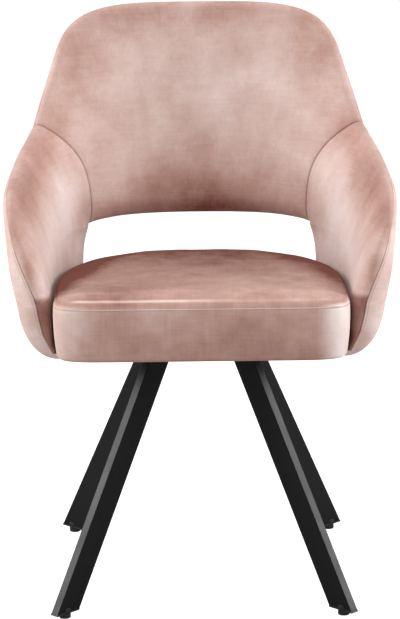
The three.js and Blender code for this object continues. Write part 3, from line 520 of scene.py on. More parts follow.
    def normal(self, region: Region, share: float, rise: float, seam_normal: Vector) -> Vector:
        """Gives the wall's outward direction, turned to the seam's own close to the seam.

        Args:
            region: Part of the wall.
            share: Place across the region, from 0 to 1.
            rise: Place up it, from 0 to 1.
            seam_normal: The seam's direction at this rise.

        Returns:
            The direction.
        """
        to_seam = 1 - share if region is Region.ARM else share
        blend = 1 - smooth(to_seam / self.seam_share)
        return self.face_normal(region, share, rise).lerp(seam_normal, blend).normalized()

    def thickness(self, region: Region, share: float, rise: float) -> float:
        """Gives the wall's thickness.

        Args:
            region: Part of the wall.
            share: Place across the region, from 0 to 1.
            rise: Place up it, from 0 to 1.

        Returns:
            The thickness, least at the rim.
        """
        level = rise
        if region is Region.BACK:
            z = self.surface(region, share, rise).z
            level = (z - self.wall_low) / (self.back_rim(share).y - self.wall_low)
        thin = clamp((level - self.thin_from) / (1 - self.thin_from)) ** self.thin_curve
        tuck = self.foot_tuck * max(0.0, 1 - level / self.tuck_to) ** 2
        return lerp(self.thick_low, self.thick_rim, thin) - tuck


@dataclass
class WallNode:
    """A place on a region's grid, with what the panels need to know about it.

    Fill falls from 1 to 0 at an edge, sink is how far the cover is drawn in, seam is the edge seam's
    share of the thickness, crease is 1 on the seam, and inward points from the edge into the wall.
    """

    share: float
    rise: float
    point: Vector
    normal: Vector
    thick: float
    fill: float = 1.0
    sink: float = 0.0
    seam: float = 0.5
    crease: float = 0.0
    inward: Vector = field(default_factory=Vector)

    def out(self, distance: float) -> Vector:
        """Gives the point a distance out of the inner face."""
        return self.point + self.normal * distance


@dataclass(frozen=True)
class Workshop:
    """Turns millimetres into the chair's own frame and makes pieces; the axis is the swivel's, in metres."""

    axis: Vector

    def place(self, point: Vector) -> Vector:
        """Turns a point from millimetres at the axis to metres in the chair's frame."""
        return Vector((point.x * MM + self.axis.x, point.y * MM + self.axis.y, point.z * MM))

    def piece(self, name: str, points: Sequence[Vector], faces: Sequence[Sequence[int]]) -> bpy.types.Object:
        """Makes an object from points in millimetres.

        Args:
            name: The piece's name.
            points: Its points, from the swivel axis at floor level.
            faces: Its faces, as indices of points.

        Returns:
            The object, with its faces turned outwards.
        """
        mesh = bpy.data.meshes.new(name)
        mesh.from_pydata([self.place(p) for p in points], [], faces)
        work = bmesh.new()
        work.from_mesh(mesh)
        bmesh.ops.recalc_face_normals(work, faces=work.faces)
        work.to_mesh(mesh)
        work.free()
        made = bpy.data.objects.new(name, mesh)
        bpy.context.scene.collection.objects.link(made)
        return made

    def sheet(self, name: str, front: Grid, back: Grid) -> bpy.types.Object:
        """Makes a closed panel between two grids of points.

        Args:
            name: The piece's name.
            front: Columns of points on the face that shows.
            back: Columns of points on the hidden face.

        Returns:
            The object.
        """
        columns, rows = len(front), len(front[0])
        points = [p for grid in (front, back) for column in grid for p in column]
        half = columns * rows

        def at(i: int, j: int) -> int:
            """Gives a front point's index."""
            return i * rows + j

        faces = []
        for i in range(columns - 1):
            for j in range(rows - 1):
                quad = (at(i, j), at(i + 1, j), at(i + 1, j + 1), at(i, j + 1))
                faces.append(quad)
                faces.append(tuple(half + k for k in reversed(quad)))
        border = [at(i, 0) for i in range(columns)]
        border += [at(columns - 1, j) for j in range(1, rows)]
        border += [at(i, rows - 1) for i in range(columns - 2, -1, -1)]
        border += [at(0, j) for j in range(rows - 2, 0, -1)]
        for a, b in zip(border, border[1:] + border[:1]):
            faces.append((a, half + a, half + b, b))
        return self.piece(name, points, faces)

    def ring_cord(self, name: str, path: Sequence[Vector], radius: float) -> bpy.types.Object:
        """Makes a round cord of fabric along a path that closes on itself.

        Args:
            name: The piece's name.
            path: Points in millimetres.
            radius: The cord's radius in millimetres.

        Returns:
            The cord as a mesh.
        """
        curve = bpy.data.curves.new(name, "CURVE")
        curve.dimensions = "3D"
        curve.bevel_depth = radius * MM
        curve.bevel_resolution = 2
        spline = curve.splines.new("POLY")
        spline.points.add(len(path) - 1)
        for target, point in zip(spline.points, path):
            target.co = (*self.place(point), 1)
        spline.use_cyclic_u = True
        made = bpy.data.objects.new(name, curve)
        bpy.context.scene.collection.objects.link(made)
        select_only(made)
        bpy.ops.object.convert(target="MESH")
        bpy.ops.object.shade_smooth()
        return made


def select_only(obj: bpy.types.Object) -> None:
    """Selects one object and makes it active.

    Args:
        obj: The object.
    """
    bpy.ops.object.select_all(action="DESELECT")
    obj.select_set(True)
    bpy.context.view_layer.objects.active = obj


def finish_piece(
    obj: bpy.types.Object,
    body: Body,
    material: bpy.types.Material,
    replaced: Sequence[str] = (),
    angle: float = 50.0,
) -> None:
    """Shades a piece, gives it its material and puts it on its body.

    Args:
        obj: The piece.
        body: The body it rides on.
        material: Its material.
        replaced: CAD nodes that it stands for.
        angle: Edges sharper than this many degrees stay sharp.
    """
    select_only(obj)
    bpy.ops.object.shade_smooth_by_angle(angle=math.radians(angle))
    obj.data.materials.clear()
    obj.data.materials.append(material)
    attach(obj, body.value)
    if replaced:
        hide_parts(*replaced)
    log.info("%s: %d faces", obj.name, len(obj.data.polygons))


def paint(obj: bpy.types.Object, name: str, values: Sequence[float]) -> None:
    """Stores a value on each point of a piece, for its material to read."""
    layer = obj.data.attributes.new(name, "FLOAT", "POINT")
    layer.data.foreach_set("value", values)


def paint_light_and_shade(obj: bpy.types.Object, tone: Callable[[Vector], float]) -> None:
    """Stores the painted light and shade on each point of a piece, for its material to read.

    Args:
        obj: The piece.
        tone: Gives the painted tone at a place in metres, from -1, painted shade, to 1, painted light.
    """
    paint(obj, "nap", [tone(v.co) for v in obj.data.vertices])


def even_out(obj: bpy.types.Object, moves: list[Vector], rounds: int) -> list[Vector]:
    """Averages the moves of neighbouring points, so that a swollen panel keeps no ripples.

    Args:
        obj: The piece.
        moves: A move for each of its points; a point that stays put goes on staying put.
        rounds: How often to average.

    Returns:
        The new moves.
    """
    around: list[list[int]] = [[] for _ in moves]
    for edge in obj.data.edges:
        a, b = edge.vertices
        around[a].append(b)
        around[b].append(a)
    free = [m.length > 0 for m in moves]
    for _ in range(rounds):
        moves = [
            (move + sum((moves[n] for n in near), Vector()) / len(near)) / 2 if loose else move
            for move, near, loose in zip(moves, around, free)
        ]
    return moves


def inflate(
    obj: bpy.types.Object,
    held: Callable[[Vector], float],
    pressure: float,
    cap: float,
    frames: int = 20,
    rounds: int = 14,
) -> None:
    """Swells a padded piece with a short cloth simulation, and applies the result.

    Args:
        obj: The piece, a closed mesh.
        held: Gives how firmly a place in metres is held, from 0 to 1.
        pressure: Pressure inside the piece.
        cap: The most that a point may move, in millimetres.
        frames: How many frames the simulation runs.
        rounds: How often neighbouring moves are averaged.
    """
    before = [v.co.copy() for v in obj.data.vertices]
    group = "held"
    pins = obj.vertex_groups.new(name=group)
    for vertex in obj.data.vertices:
        pins.add([vertex.index], held(vertex.co), "REPLACE")
    cloth = obj.modifiers.new("swell", "CLOTH")
    settings = cloth.settings
    settings.vertex_group_mass = group
    settings.quality = 6
    settings.mass = 0.4
    settings.tension_stiffness = 25
    settings.compression_stiffness = 25
    settings.shear_stiffness = 8
    settings.bending_stiffness = 1.5
    settings.use_pressure = True
    settings.uniform_pressure_force = pressure
    settings.effector_weights.gravity = 0
    cloth.collision_settings.use_collision = False
    cloth.collision_settings.use_self_collision = False
    scene = bpy.context.scene
    for frame_number in range(1, frames + 1):
        scene.frame_set(frame_number)
    select_only(obj)
    bpy.ops.object.modifier_apply(modifier=cloth.name)
    scene.frame_set(1)
    limit = cap * MM
    moves = [v.co - start for v, start in zip(obj.data.vertices, before)]
    moves = [m.normalized() * min(m.length, limit) for m in moves]
    for vertex, start, move in zip(obj.data.vertices, before, even_out(obj, moves, rounds)):
        vertex.co = start + move
    obj.vertex_groups.remove(obj.vertex_groups[group])


@dataclass(frozen=True)
class Blot:
    """A soft patch of painted shade, or of painted light where its amount is above 0, on both sides of the
    chair alike.
    """

    amount: float
    centre: tuple[float, float]
    size: tuple[float, float]

    def at(self, place: Vector) -> float:
        """Gives its tone at a place in metres, from its half width and height in millimetres.

        Args:
            place: The place, in metres.

        Returns:
            The tone: the whole amount at the centre, fading out.
        """
        across = (abs(place.x) / MM - self.centre[0]) / self.size[0]
        up = (place.z / MM - self.centre[1]) / self.size[1]
        return self.amount * math.exp(-across * across - up * up)


class ShellUpholstery:
    """The sewn panels over the shell's inner and outer faces.

    Pads lie inside the core and covers outside it. A pad and a cover meet in an edge seam, which
    runs at a share of the wall's thickness, and panels beside each other meet in a sunk seam.
    """

    # Painted shade and painted light on the inner faces: darker low on the back, at its top and along the
    # arms, lighter in the back's middle and on the arms beside the opening and the cushion.
    INNER_LIGHT_AND_SHADE = (
        Blot(-0.9, (0, 564), (150, 42)),
        Blot(-0.4, (0, 553), (170, 16)),
        Blot(-0.3, (0, 640), (100, 75)),
        Blot(-0.3, (0, 890), (300, 45)),
        Blot(-0.25, (0, 845), (150, 50)),
        Blot(0.2, (0, 740), (100, 75)),
        Blot(0.1, (135, 700), (55, 100)),
        Blot(-0.42, (205, 795), (60, 85)),
        Blot(0.62, (216, 560), (26, 58)),
        Blot(0.15, (220, 528), (16, 26)),
        Blot(-0.35, (232, 690), (30, 42)),
        Blot(-0.62, (264, 640), (28, 48)),
        Blot(-0.38, (278, 600), (20, 50)),
        Blot(-0.4, (298, 560), (13, 55)),
        Blot(-0.5, (257, 532), (11, 34)),
    )
    # Painted light on the outer covers.
    OUTER_PAINTED_LIGHT = (Blot(0.1, (290, 500), (80, 120)),)
    # Layers and seams: shares of the wall's thickness, and millimetres.
    INNER_SHARE = 0.36
    CORE_THICKNESS = 4.0
    SEAM_SINK = 2.6
    SEAM_WIDTH = 13.0
    RIM_SEAM = 0.5
    FRONT_SEAM_FOOT = 0.17
    FRONT_SEAM = 0.37
    FRONT_SEAM_BEND = 0.35
    GAP_SEAM = 0.34
    VALLEY_DEPTH = 1.7
    VALLEY_WIDTH = 2.2
    VALLEY_CURVE = 1.5
    # The foot of the panels, round and under the core.
    LIP = 4.8
    SAG = 3.5
    FLANGE = 9.1
    INNER_BEND = 5.0
    OUTER_BEND = 7.0
    SEAM_FOOT = -5.0
    PAD_FOOT = 8.0
    PAD_SWELL = 4.8
    PAD_TOP = 502.0
    PAD_FADE = 22.0
    PAD_TUCK = 2.5
    PAD_TUCK_HEIGHT = 9.0
    PAD_ROWS = 8
    COVER_ROWS = 12
    HEM = 14.0
    HEM_REACHES = (-34.0, -20.0)
    HEM_DROP = 0.5
    HEM_FILL = 0.6
    HEM_CURVE = 0.92
    HEM_SLACK = 20.0
    TIP_TUCK = 10.0
    # How edges round off, where their seams run and how deep the shade in a crease is.
    EDGE_ROUND = 0.5
    EDGE_FILL = 0.9
    EDGE_CREASE = 0.8
    SEAM_CREASE = 0.6
    FRONT_SEAM_EASE = 0.05
    FRONT_SEAM_CURVE = 1.6
    GAP_SEAM_REACH = 40.0
    SHADE_TOP = 500.0
    SHADE_FADE = 9.0
    # Grid lines, closest together beside the seams.
    ARM_LENGTH = 355.0
    BACK_HEIGHT = 250.0
    BACK_LENGTH = 330.0
    BACK_COLUMNS = 44
    SEAM_LINES = (0, 0.4, 0.9, 1.5, 2.3, 3.4, 5, 7, 10, 14, 19, 25)

    def __init__(self, shop: Workshop, form: ShellForm, low: float, velvet: bpy.types.Material) -> None:
        """Works out the grids of the wall.

        Args:
            shop: Makes the meshes.
            form: The shell's surfaces.
            low: Height of the shell's underside, in millimetres.
            velvet: The cover's material.
        """
        self.shop, self.form, self.low, self.velvet = shop, form, low, velvet
        low_band, high_gap = form.band_top - form.wall_foot, form.gap_top - form.band_top
        foot = [lerp(form.foot_share, form.band_share, s) for s in spread(low_band, start=0, end=14, step=5)]
        gap = [lerp(form.band_share, form.gap_share, s) for s in spread(high_gap, start=14, end=14, step=8)]
        upper = [lerp(form.gap_share, 1, s) for s in spread(self.BACK_HEIGHT, start=20, end=11, step=6.5)]
        self.band_row = len(foot) - 1
        self.gap_row = self.band_row + len(gap) - 1
        self.rows = foot + gap[1:] + upper[1:]
        log.info("wall grid of %d rows", len(self.rows))
        last = self.SEAM_LINES[-1]
        arm_lines = spread(self.ARM_LENGTH, start=14, end=0, step=7)
        arm_lines = [s for s in arm_lines if s < 1 - (last + 0.5) / self.ARM_LENGTH]
        arm_lines += [1 - d / self.ARM_LENGTH for d in self.SEAM_LINES[::-1]]
        back_lines = [d / self.BACK_LENGTH for d in self.SEAM_LINES]
        for k in range(1, self.BACK_COLUMNS + 1):
            back_lines.append(lerp(last / self.BACK_LENGTH, 1, k / self.BACK_COLUMNS))
        self.arm = self.grid(Region.ARM, arm_lines, self.rows)
        self.back = self.grid(Region.BACK, back_lines, self.rows[self.gap_row :])
        self.band = self.grid(Region.BAND, back_lines, self.rows[: self.band_row + 1])

    @staticmethod
    def runs(line: Sequence[WallNode]) -> list[float]:
        """Gives how far along a line of nodes each of them lies.

        Args:
            line: The nodes in order.

        Returns:
            A length for each node, from 0.
        """
        lengths = [0.0]
        for a, b in zip(line, line[1:]):
            lengths.append(lengths[-1] + (b.point - a.point).length)
        return lengths

    def grid(self, region: Region, shares: Sequence[float], rises: Sequence[float]) -> list[list[WallNode]]:
        """Works out a region's nodes, with the fullness that its edges and seams leave.

        Args:
            region: Part of the wall.
            shares: Its columns.
            rises: Its rows.

        Returns:
            Columns of nodes.
        """
        form = self.form
        seam_normals = [form.seam_normal(rise) for rise in rises]
        grid = [
            [
                WallNode(
                    share,
                    rise,
                    form.surface(region, share, rise),
                    form.normal(region, share, rise, seam_normals[j]),
                    form.thickness(region, share, rise),
                )
                for j, rise in enumerate(rises)
            ]
            for share in shares
        ]
        columns, rows = len(grid), len(rises)
        up = [self.runs(column) for column in grid]
        across = [self.runs([column[j] for column in grid]) for j in range(rows)]
        is_arm = region is Region.ARM
        band_row = self.band_row if region is not Region.BACK else -1
        gap_row = {Region.ARM: self.gap_row, Region.BACK: 0, Region.BAND: rows}[region]
        for i, column in enumerate(grid):
            for j, node in enumerate(column):
                radius = node.thick * self.EDGE_ROUND
                to_seam = across[j][-1] - across[j][i] if is_arm else across[j][i]
                past = up[i][j] - up[i][gap_row] if j > gap_row else 0.0
                if j < band_row:
                    past = up[i][band_row] - up[i][j]
                to_opening = math.hypot(to_seam, past) if is_arm else past
                to_front = across[j][i] if is_arm else radius
                to_rim = radius if region is Region.BAND else up[i][-1] - up[i][j]
                full = [rounding(d, radius) for d in (to_front, to_rim, to_opening)]
                node.fill = full[0] * full[1] * full[2]
                if not (is_arm and band_row < j < gap_row):
                    self.draw_in(node, to_seam)
                edge_seam = self.edge_seam(node.rise) if is_arm else self.RIM_SEAM
                node.seam = lerp(edge_seam, self.GAP_SEAM, clamp(1 - to_opening / self.GAP_SEAM_REACH))
                before = grid[max(i - 1, 0)][j].point
                after = grid[min(i + 1, columns - 1)][j].point
                sideways = (after - before).normalized()
                upward = (column[min(j + 1, rows - 1)].point - column[max(j - 1, 0)].point).normalized()
                away = -sideways if is_arm else Vector()
                if not is_arm or past > to_seam:
                    away = upward if j >= gap_row else -upward
                node.inward = sideways * (1 - full[0]) - upward * (1 - full[1]) + away * (1 - full[2])
                if node.inward.length > 1:
                    node.inward.normalize()
        return grid

    def draw_in(self, node: WallNode, to_seam: float) -> None:
        """Sinks a node towards the seam between two panels, in a roll with a narrow valley.

        Args:
            node: The node.
            to_seam: Its distance from the seam.
        """
        roll = self.SEAM_SINK * (1 - rounding(to_seam, self.SEAM_WIDTH))
        valley = self.VALLEY_DEPTH * math.exp(-((to_seam / (self.VALLEY_WIDTH / 2)) ** 2))
        node.sink = (roll + valley) * node.fill
        node.crease = math.exp(-((to_seam / self.SEAM_CREASE) ** 2))

    def edge_seam(self, rise: float) -> float:
        """Gives the share of an arm's thickness at which its edge seam runs at a rise.

        Args:
            rise: Place up the arm, from 0 to 1.

        Returns:
            The share, from 0 at the inner face to 1 at the outer one.
        """
        raised = smooth((rise - self.FRONT_SEAM_BEND) / (1 - self.FRONT_SEAM_BEND))
        eased = 1 - (1 - clamp(rise / (self.FRONT_SEAM_BEND + self.FRONT_SEAM_EASE))) ** self.FRONT_SEAM_CURVE
        return lerp(lerp(self.FRONT_SEAM_FOOT, self.FRONT_SEAM, eased), self.RIM_SEAM, raised)

    def fullness(self, node: WallNode) -> float:
        """Gives how far the inner pad swells towards the cushion at a node, in millimetres."""
        below = smooth((self.PAD_TOP - node.point.z) / self.PAD_FADE)
        return self.PAD_SWELL * self.form.near_front(node.point.y) * below

    def valley_depth(self, beside: float) -> float:
        """Gives how deep the cover is drawn in at a distance from an edge seam."""
        return self.VALLEY_DEPTH * max(0.0, 1 - beside / self.VALLEY_WIDTH) ** self.VALLEY_CURVE

    def valley(self, node: WallNode, offset: float) -> Vector:
        """Gives how far a point beside an edge seam is drawn into the wall."""
        return node.inward * self.valley_depth(abs(offset - node.thick * node.seam))

    def buried(self, node: WallNode) -> Vector:
        """Gives how far a hidden point beside an edge seam is drawn into the wall."""
        return node.inward * self.VALLEY_DEPTH * (1 - node.fill)

    def face(self, node: WallNode, side: Face) -> Vector:
        """Gives a point of a panel's face.

        Args:
            node: The node.
            side: The wall's face.

        Returns:
            The point.
        """
        seam = node.thick * node.seam
        if side is Face.INNER:
            offset = lerp(seam - FIT_GAP, node.sink - self.fullness(node), node.fill)
        else:
            offset = lerp(seam + FIT_GAP, node.thick - node.sink, node.fill)
        return node.out(offset) + self.valley(node, offset)

    def hidden(self, node: WallNode, side: Face) -> Vector:
        """Gives the point behind a panel's face, against the core.

        Args:
            node: The node.
            side: The wall's face.

        Returns:
            The point.
        """
        seam = node.thick * node.seam
        inner = node.thick * self.INNER_SHARE
        if side is Face.INNER:
            deep = lerp(seam - FIT_GAP / 2, min(inner, seam) - FIT_GAP, clamp(node.fill * 2))
        else:
            core = max(inner + self.CORE_THICKNESS, seam) + FIT_GAP
            deep = lerp(seam + FIT_GAP / 2, core, clamp(node.fill * 2))
        return node.out(deep) + self.buried(node)

    def under(self, foot: WallNode, offset: float, z: float, region: Region) -> Vector:
        """Gives a point below the wall's foot.

        Args:
            foot: The foot's node.
            offset: Distance out of the inner face; less than 0 is under the seat.
            z: Height in millimetres.
            region: Part of the wall.

        Returns:
            The point.
        """
        level = Vector((foot.normal.x, foot.normal.y, 0)).normalized()
        place = foot.point + level * offset
        depth = (foot.point.z - z) / (foot.point.z - self.low)
        tuck = self.TIP_TUCK * (1 - foot.share) ** 4 * depth if region is Region.ARM else 0.0
        return Vector((place.x, place.y + tuck, z))

    def pad_rows(self, foot: WallNode, region: Region) -> list[tuple[Vector, Vector]]:
        """Gives an inner pad's rows below the wall's foot, between the cushion and the core.

        Args:
            foot: The foot's node.
            region: Part of the wall.

        Returns:
            Pairs of a front and a hidden point, from the lowest up.
        """
        inner = foot.thick * self.INNER_SHARE
        flange = self.low + self.FLANGE
        buried = self.buried(foot)
        rows = []
        for k in range(self.PAD_ROWS, 0, -1):
            share = k / self.PAD_ROWS
            z = lerp(foot.point.z, flange + FIT_GAP, share)
            seam = lerp(foot.thick * foot.seam, self.SEAM_FOOT, share)
            tucked = self.PAD_TUCK * (1 - rounding(z - flange, self.PAD_TUCK_HEIGHT))
            full = foot.sink + tucked - self.PAD_FOOT * share**3 - self.fullness(foot)
            face = lerp(seam - FIT_GAP, full, foot.fill)
            behind = lerp(inner, self.INNER_BEND, share) - FIT_GAP
            back = lerp(seam - FIT_GAP / 2, behind, clamp(foot.fill * 2))
            drawn = foot.inward * self.valley_depth(abs(face - seam))
            front = self.under(foot, face, z, region) + drawn
            rows.append((front, self.under(foot, back, z, region) + buried))
        return rows

    def cover_rows(self, foot: WallNode, above: WallNode, region: Region) -> list[tuple[Vector, Vector]]:
        """Gives an outer cover's rows below the wall's foot, round and under the core to a hem.

        Args:
            foot: The foot's node.
            above: The node above it.
            region: Part of the wall.

        Returns:
            Pairs of a front and a hidden point, from the lowest up.
        """
        inner = foot.thick * self.INNER_SHARE
        flange = self.low + self.FLANGE
        buried = self.buried(foot)
        lip = lerp(flange, self.low + self.LIP, clamp(foot.fill * 2))
        hem = lerp(flange - self.HEM_DROP, self.low - self.SAG, foot.fill)
        rows = []
        for reach in self.HEM_REACHES:
            rows.append((self.under(foot, reach, hem, region), self.under(foot, reach, lip, region)))
        reach = foot.thick + self.HEM
        rising = above.out(above.thick) - foot.out(foot.thick)
        lean = rising.dot(Vector((foot.normal.x, foot.normal.y, 0)).normalized()) / rising.z
        drawn = foot.inward * self.valley_depth(FIT_GAP + self.HEM_SLACK * foot.fill)
        for k in range(self.COVER_ROWS, 0, -1):
            share = k / self.COVER_ROWS
            angle = math.pi / 2 * share
            z = lerp(foot.point.z, self.low - self.SAG, math.sin(angle) ** self.HEM_CURVE)
            offset = reach * math.cos(angle) ** self.HEM_CURVE - self.HEM
            offset -= lean * (foot.point.z - z) * (1 - share)
            seam = lerp(foot.thick * foot.seam, self.SEAM_FOOT, share)
            seam_z = lerp(foot.point.z, flange, share)
            core = lerp(inner + self.CORE_THICKNESS, self.OUTER_BEND, share) + FIT_GAP
            behind = self.under(foot, core, lerp(foot.point.z, self.low + self.LIP, share), region)
            edge = self.under(foot, seam + FIT_GAP / 2, seam_z, region)
            landed = self.under(foot, seam + FIT_GAP, seam_z - self.HEM_DROP * share, region)
            full = self.under(foot, offset, z, region)
            at_hem = smooth((foot.fill - self.HEM_FILL) / (1 - self.HEM_FILL))
            covered = lerp(clamp(foot.fill * 2), at_hem, share)
            rows.append((landed.lerp(full, foot.fill) + drawn, edge.lerp(behind, covered) + buried))
        return rows

    def columns(self, grid: list[list[WallNode]], side: Face, region: Region) -> tuple[Grid, Grid]:
        """Gives a panel's front and hidden points on the right-hand side.

        Args:
            grid: The region's nodes.
            side: The wall's face.
            region: Part of the wall.

        Returns:
            Two grids of points.
        """
        front, back = [], []
        for column in grid:
            lower = []
            if region is not Region.BACK and side is Face.INNER:
                lower = self.pad_rows(column[0], region)
            elif region is not Region.BACK:
                lower = self.cover_rows(column[0], column[1], region)
            front.append([pair[0] for pair in lower] + [self.face(n, side) for n in column])
            back.append([pair[1] for pair in lower] + [self.hidden(n, side) for n in column])
        return front, back

    def seams(self, front: Grid, grid: list[list[WallNode]], side: Face, halves: bool) -> list[float]:
        """Gives how close each point of a panel's face lies to a seam, from 0 to 1 on it: the velvet darkens
        there, partly the seam's own dark line and partly painted shade in its crease.

        Args:
            front: The panel's points, on its right half.
            grid: The region's nodes.
            side: The wall's face.
            halves: Whether the panel also has a mirrored half.

        Returns:
            A value for each point of the panel, the hidden ones at 1.
        """
        shades = []
        for points, column in zip(front, grid):
            lower = len(points) - len(column)
            shades.append([])
            for j in range(len(points)):
                node = column[max(j - lower, 0)]
                beside = abs((self.face(node, side) - node.point).dot(node.normal) - node.thick * node.seam)
                edge = math.exp(-(((beside - FIT_GAP) / self.EDGE_CREASE) ** 2))
                shades[-1].append(max(edge if node.fill < self.EDGE_FILL else 0.0, node.crease))
        if halves:
            shades += shades[-2::-1]
        flat = [value for column in shades for value in column]
        return flat + [1.0] * len(flat)

    @staticmethod
    def mirrored(grid: Grid) -> Grid:
        """Gives the mirror image of a grid."""
        return [[Vector((-p.x, p.y, p.z)) for p in column] for column in grid]

    @classmethod
    def both_halves(cls, grid: Grid) -> Grid:
        """Joins a right half, seam first, to its mirror image over the middle."""
        return grid + cls.mirrored(grid)[-2::-1]

    def seam_gap(self, grid: Grid, index: int, neighbour: int) -> None:
        """Draws a panel's column on a seam in from it, so that two panels never share a face.

        Args:
            grid: The panel's points.
            index: The column on the seam.
            neighbour: The column beside it.
        """
        for j, point in enumerate(grid[index]):
            step = grid[neighbour][j] - point
            grid[index][j] = point + step.normalized() * min(FIT_GAP / 2, step.length / 3)

    def build(self) -> None:
        """Makes the eight panels."""
        for side in Face:
            front, back = self.columns(self.arm, side, Region.ARM)
            for grid in (front, back):
                self.seam_gap(grid, -1, -2)
            shades = self.seams(front, self.arm, side, False)
            for hand in Side:
                faces = [self.mirrored(g) if hand is Side.LEFT else g for g in (front, back)]
                kind = "inner_arm_pad" if side is Face.INNER else "outer_arm_cover"
                piece = self.shop.sheet(f"velvet_{kind}_{hand.name.lower()}", *faces)
                paint(piece, "seam", shades)
                self.dress(piece, f"{kind}_{hand.name.lower()}", side)
            for region, grid in ((Region.BACK, self.back), (Region.BAND, self.band)):
                front, back = self.columns(grid, side, region)
                for half in (front, back):
                    self.seam_gap(half, 0, 1)
                kind = "pad" if side is Face.INNER else "cover"
                node = f"{side.value}_{region.value}_{kind}"
                piece = self.shop.sheet(f"velvet_{node}", self.both_halves(front), self.both_halves(back))
                paint(piece, "seam", self.seams(front, grid, side, True))
                self.dress(piece, node, side)

    def dress(self, piece: bpy.types.Object, node: str, side: Face) -> None:
        """Finishes a panel in place of its CAD node.

        Args:
            piece: The panel.
            node: Its CAD node.
            side: The wall's face.
        """
        paint_light_and_shade(piece, self.tone(side))
        finish_piece(piece, Body.SEAT, self.velvet, [node])

    def tone(self, side: Face) -> Callable[[Vector], float]:
        """Gives the painted light and shade over a face: the painted patches, and on the inner face painted
        shade low beside the cushion.

        Args:
            side: The wall's face.

        Returns:
            A function that gives the tone at a place in metres.
        """
        blots = self.INNER_LIGHT_AND_SHADE if side is Face.INNER else self.OUTER_PAINTED_LIGHT

        def nap(place: Vector) -> float:
            """Gives the tone at a place.

            Args:
                place: The place, in metres.

            Returns:
                The tone.
            """
            # Painted shade low on the inner face towards the front, under the cushion's top edge.
            shaded = 0.0
            if side is Face.INNER:
                in_front = self.form.near_front((place.y - self.shop.axis.y) / MM)
                shaded = smooth((self.SHADE_TOP - place.z / MM) / self.SHADE_FADE) * in_front
            return sum(blot.at(place) for blot in blots) - shaded

        return nap


@dataclass(frozen=True)
class CushionLightAndShade:
    """Painted light and shade on the cushion; places are in metres in the chair's frame."""

    # Painted shade on the top: darker all over, more towards the rear and beside the arms, with an extra spot
    # at the front-left.
    top: float = -0.62
    rear: float = -0.72
    rear_from: float = -0.24
    rear_run: float = 0.4
    rear_curve: float = 1.4
    arm_shade_left: float = -0.95
    arm_shade_right: float = -0.55
    arms_from: tuple[float, float] = (0.2, 0.06)
    arms_run: tuple[float, float] = (0.05, 0.1)
    shade_spot: float = 0.35
    shade_spot_place: tuple[float, float] = (-0.11, -0.14)
    shade_spot_run: tuple[float, float] = (0.05, 0.08)
    # Painted shade on the side panel, darker towards its foot; painted highlights at the front's ends; painted
    # shade past the right corner and on the sides and rear behind the front corners.
    front: tuple[float, float] = (-0.78, -0.42)
    left_highlight: float = 0.5
    left_from: float = -0.155
    left_run: float = 0.035
    right_highlight: float = 1.2
    right_from: float = 0.165
    right_run: float = 0.04
    corner: float = -0.95
    corner_from: float = 0.205
    corner_run: float = 0.03
    between: float = -1.6
    between_from: float = -0.215
    between_run: float = 0.02
    # A painted highlight along the front's top edge.
    edge: tuple[float, float] = (0.15, 0.8)
    edge_above_mm: float = 9.8
    edge_half_width: float = 0.2
    edge_front: float = -0.26
    edge_run: float = 0.02
    edge_fade: float = 0.1

    def on_top(self, place: Vector) -> float:
        """Gives the top's painted shade: darker all over, most towards the rear and beside the arms.

        Args:
            place: The place, in metres.

        Returns:
            The tone.
        """
        rear = clamp((place.y - self.rear_from) / self.rear_run)
        arm_shade = smooth((abs(place.x) - lerp(*self.arms_from, rear)) / lerp(*self.arms_run, rear))
        across = (place.x - self.shade_spot_place[0]) / self.shade_spot_run[0]
        ahead = smooth((self.shade_spot_place[1] - place.y) / self.shade_spot_run[1])
        arm_shade += self.shade_spot * math.exp(-(across**2)) * ahead
        beside = self.arm_shade_left if place.x < 0 else self.arm_shade_right
        return self.top + self.rear * rear**self.rear_curve + arm_shade * beside

    def on_side(self, place: Vector, rise: float) -> float:
        """Gives the side panel's painted light and shade: highlights at the front's ends, shade towards its
        foot, past the right corner and behind the front corners beside the arms.

        Args:
            place: The place, in metres.
            rise: How far up the panel it lies.

        Returns:
            The tone.
        """
        # Painted highlights at the front's ends, cut back by painted shade past the right corner.
        ends = self.left_highlight * smooth((self.left_from - place.x) / self.left_run)
        ends += self.right_highlight * smooth((place.x - self.right_from) / self.right_run)
        ends += self.corner * smooth((place.x - self.corner_from) / self.corner_run)
        # Painted shade on the sides and rear, between the cushion and the arms.
        between = self.between * smooth((place.y - self.between_from) / self.between_run)
        return lerp(*self.front, rise) + ends + between

    def edge_highlight(self, place: Vector, above: float) -> float:
        """Gives the painted highlight on the bend above the front seam: a thin pale line.

        Args:
            place: The place, in metres.
            above: Height over the seam, in millimetres.

        Returns:
            The tone to add.
        """
        if place.y >= self.edge_front:
            return 0.0
        line = math.exp(-((above - self.edge_above_mm) ** 2))
        line *= lerp(*self.edge, smooth(0.5 - place.x / self.edge_fade))
        return line * smooth((self.edge_half_width - abs(place.x)) / self.edge_run)


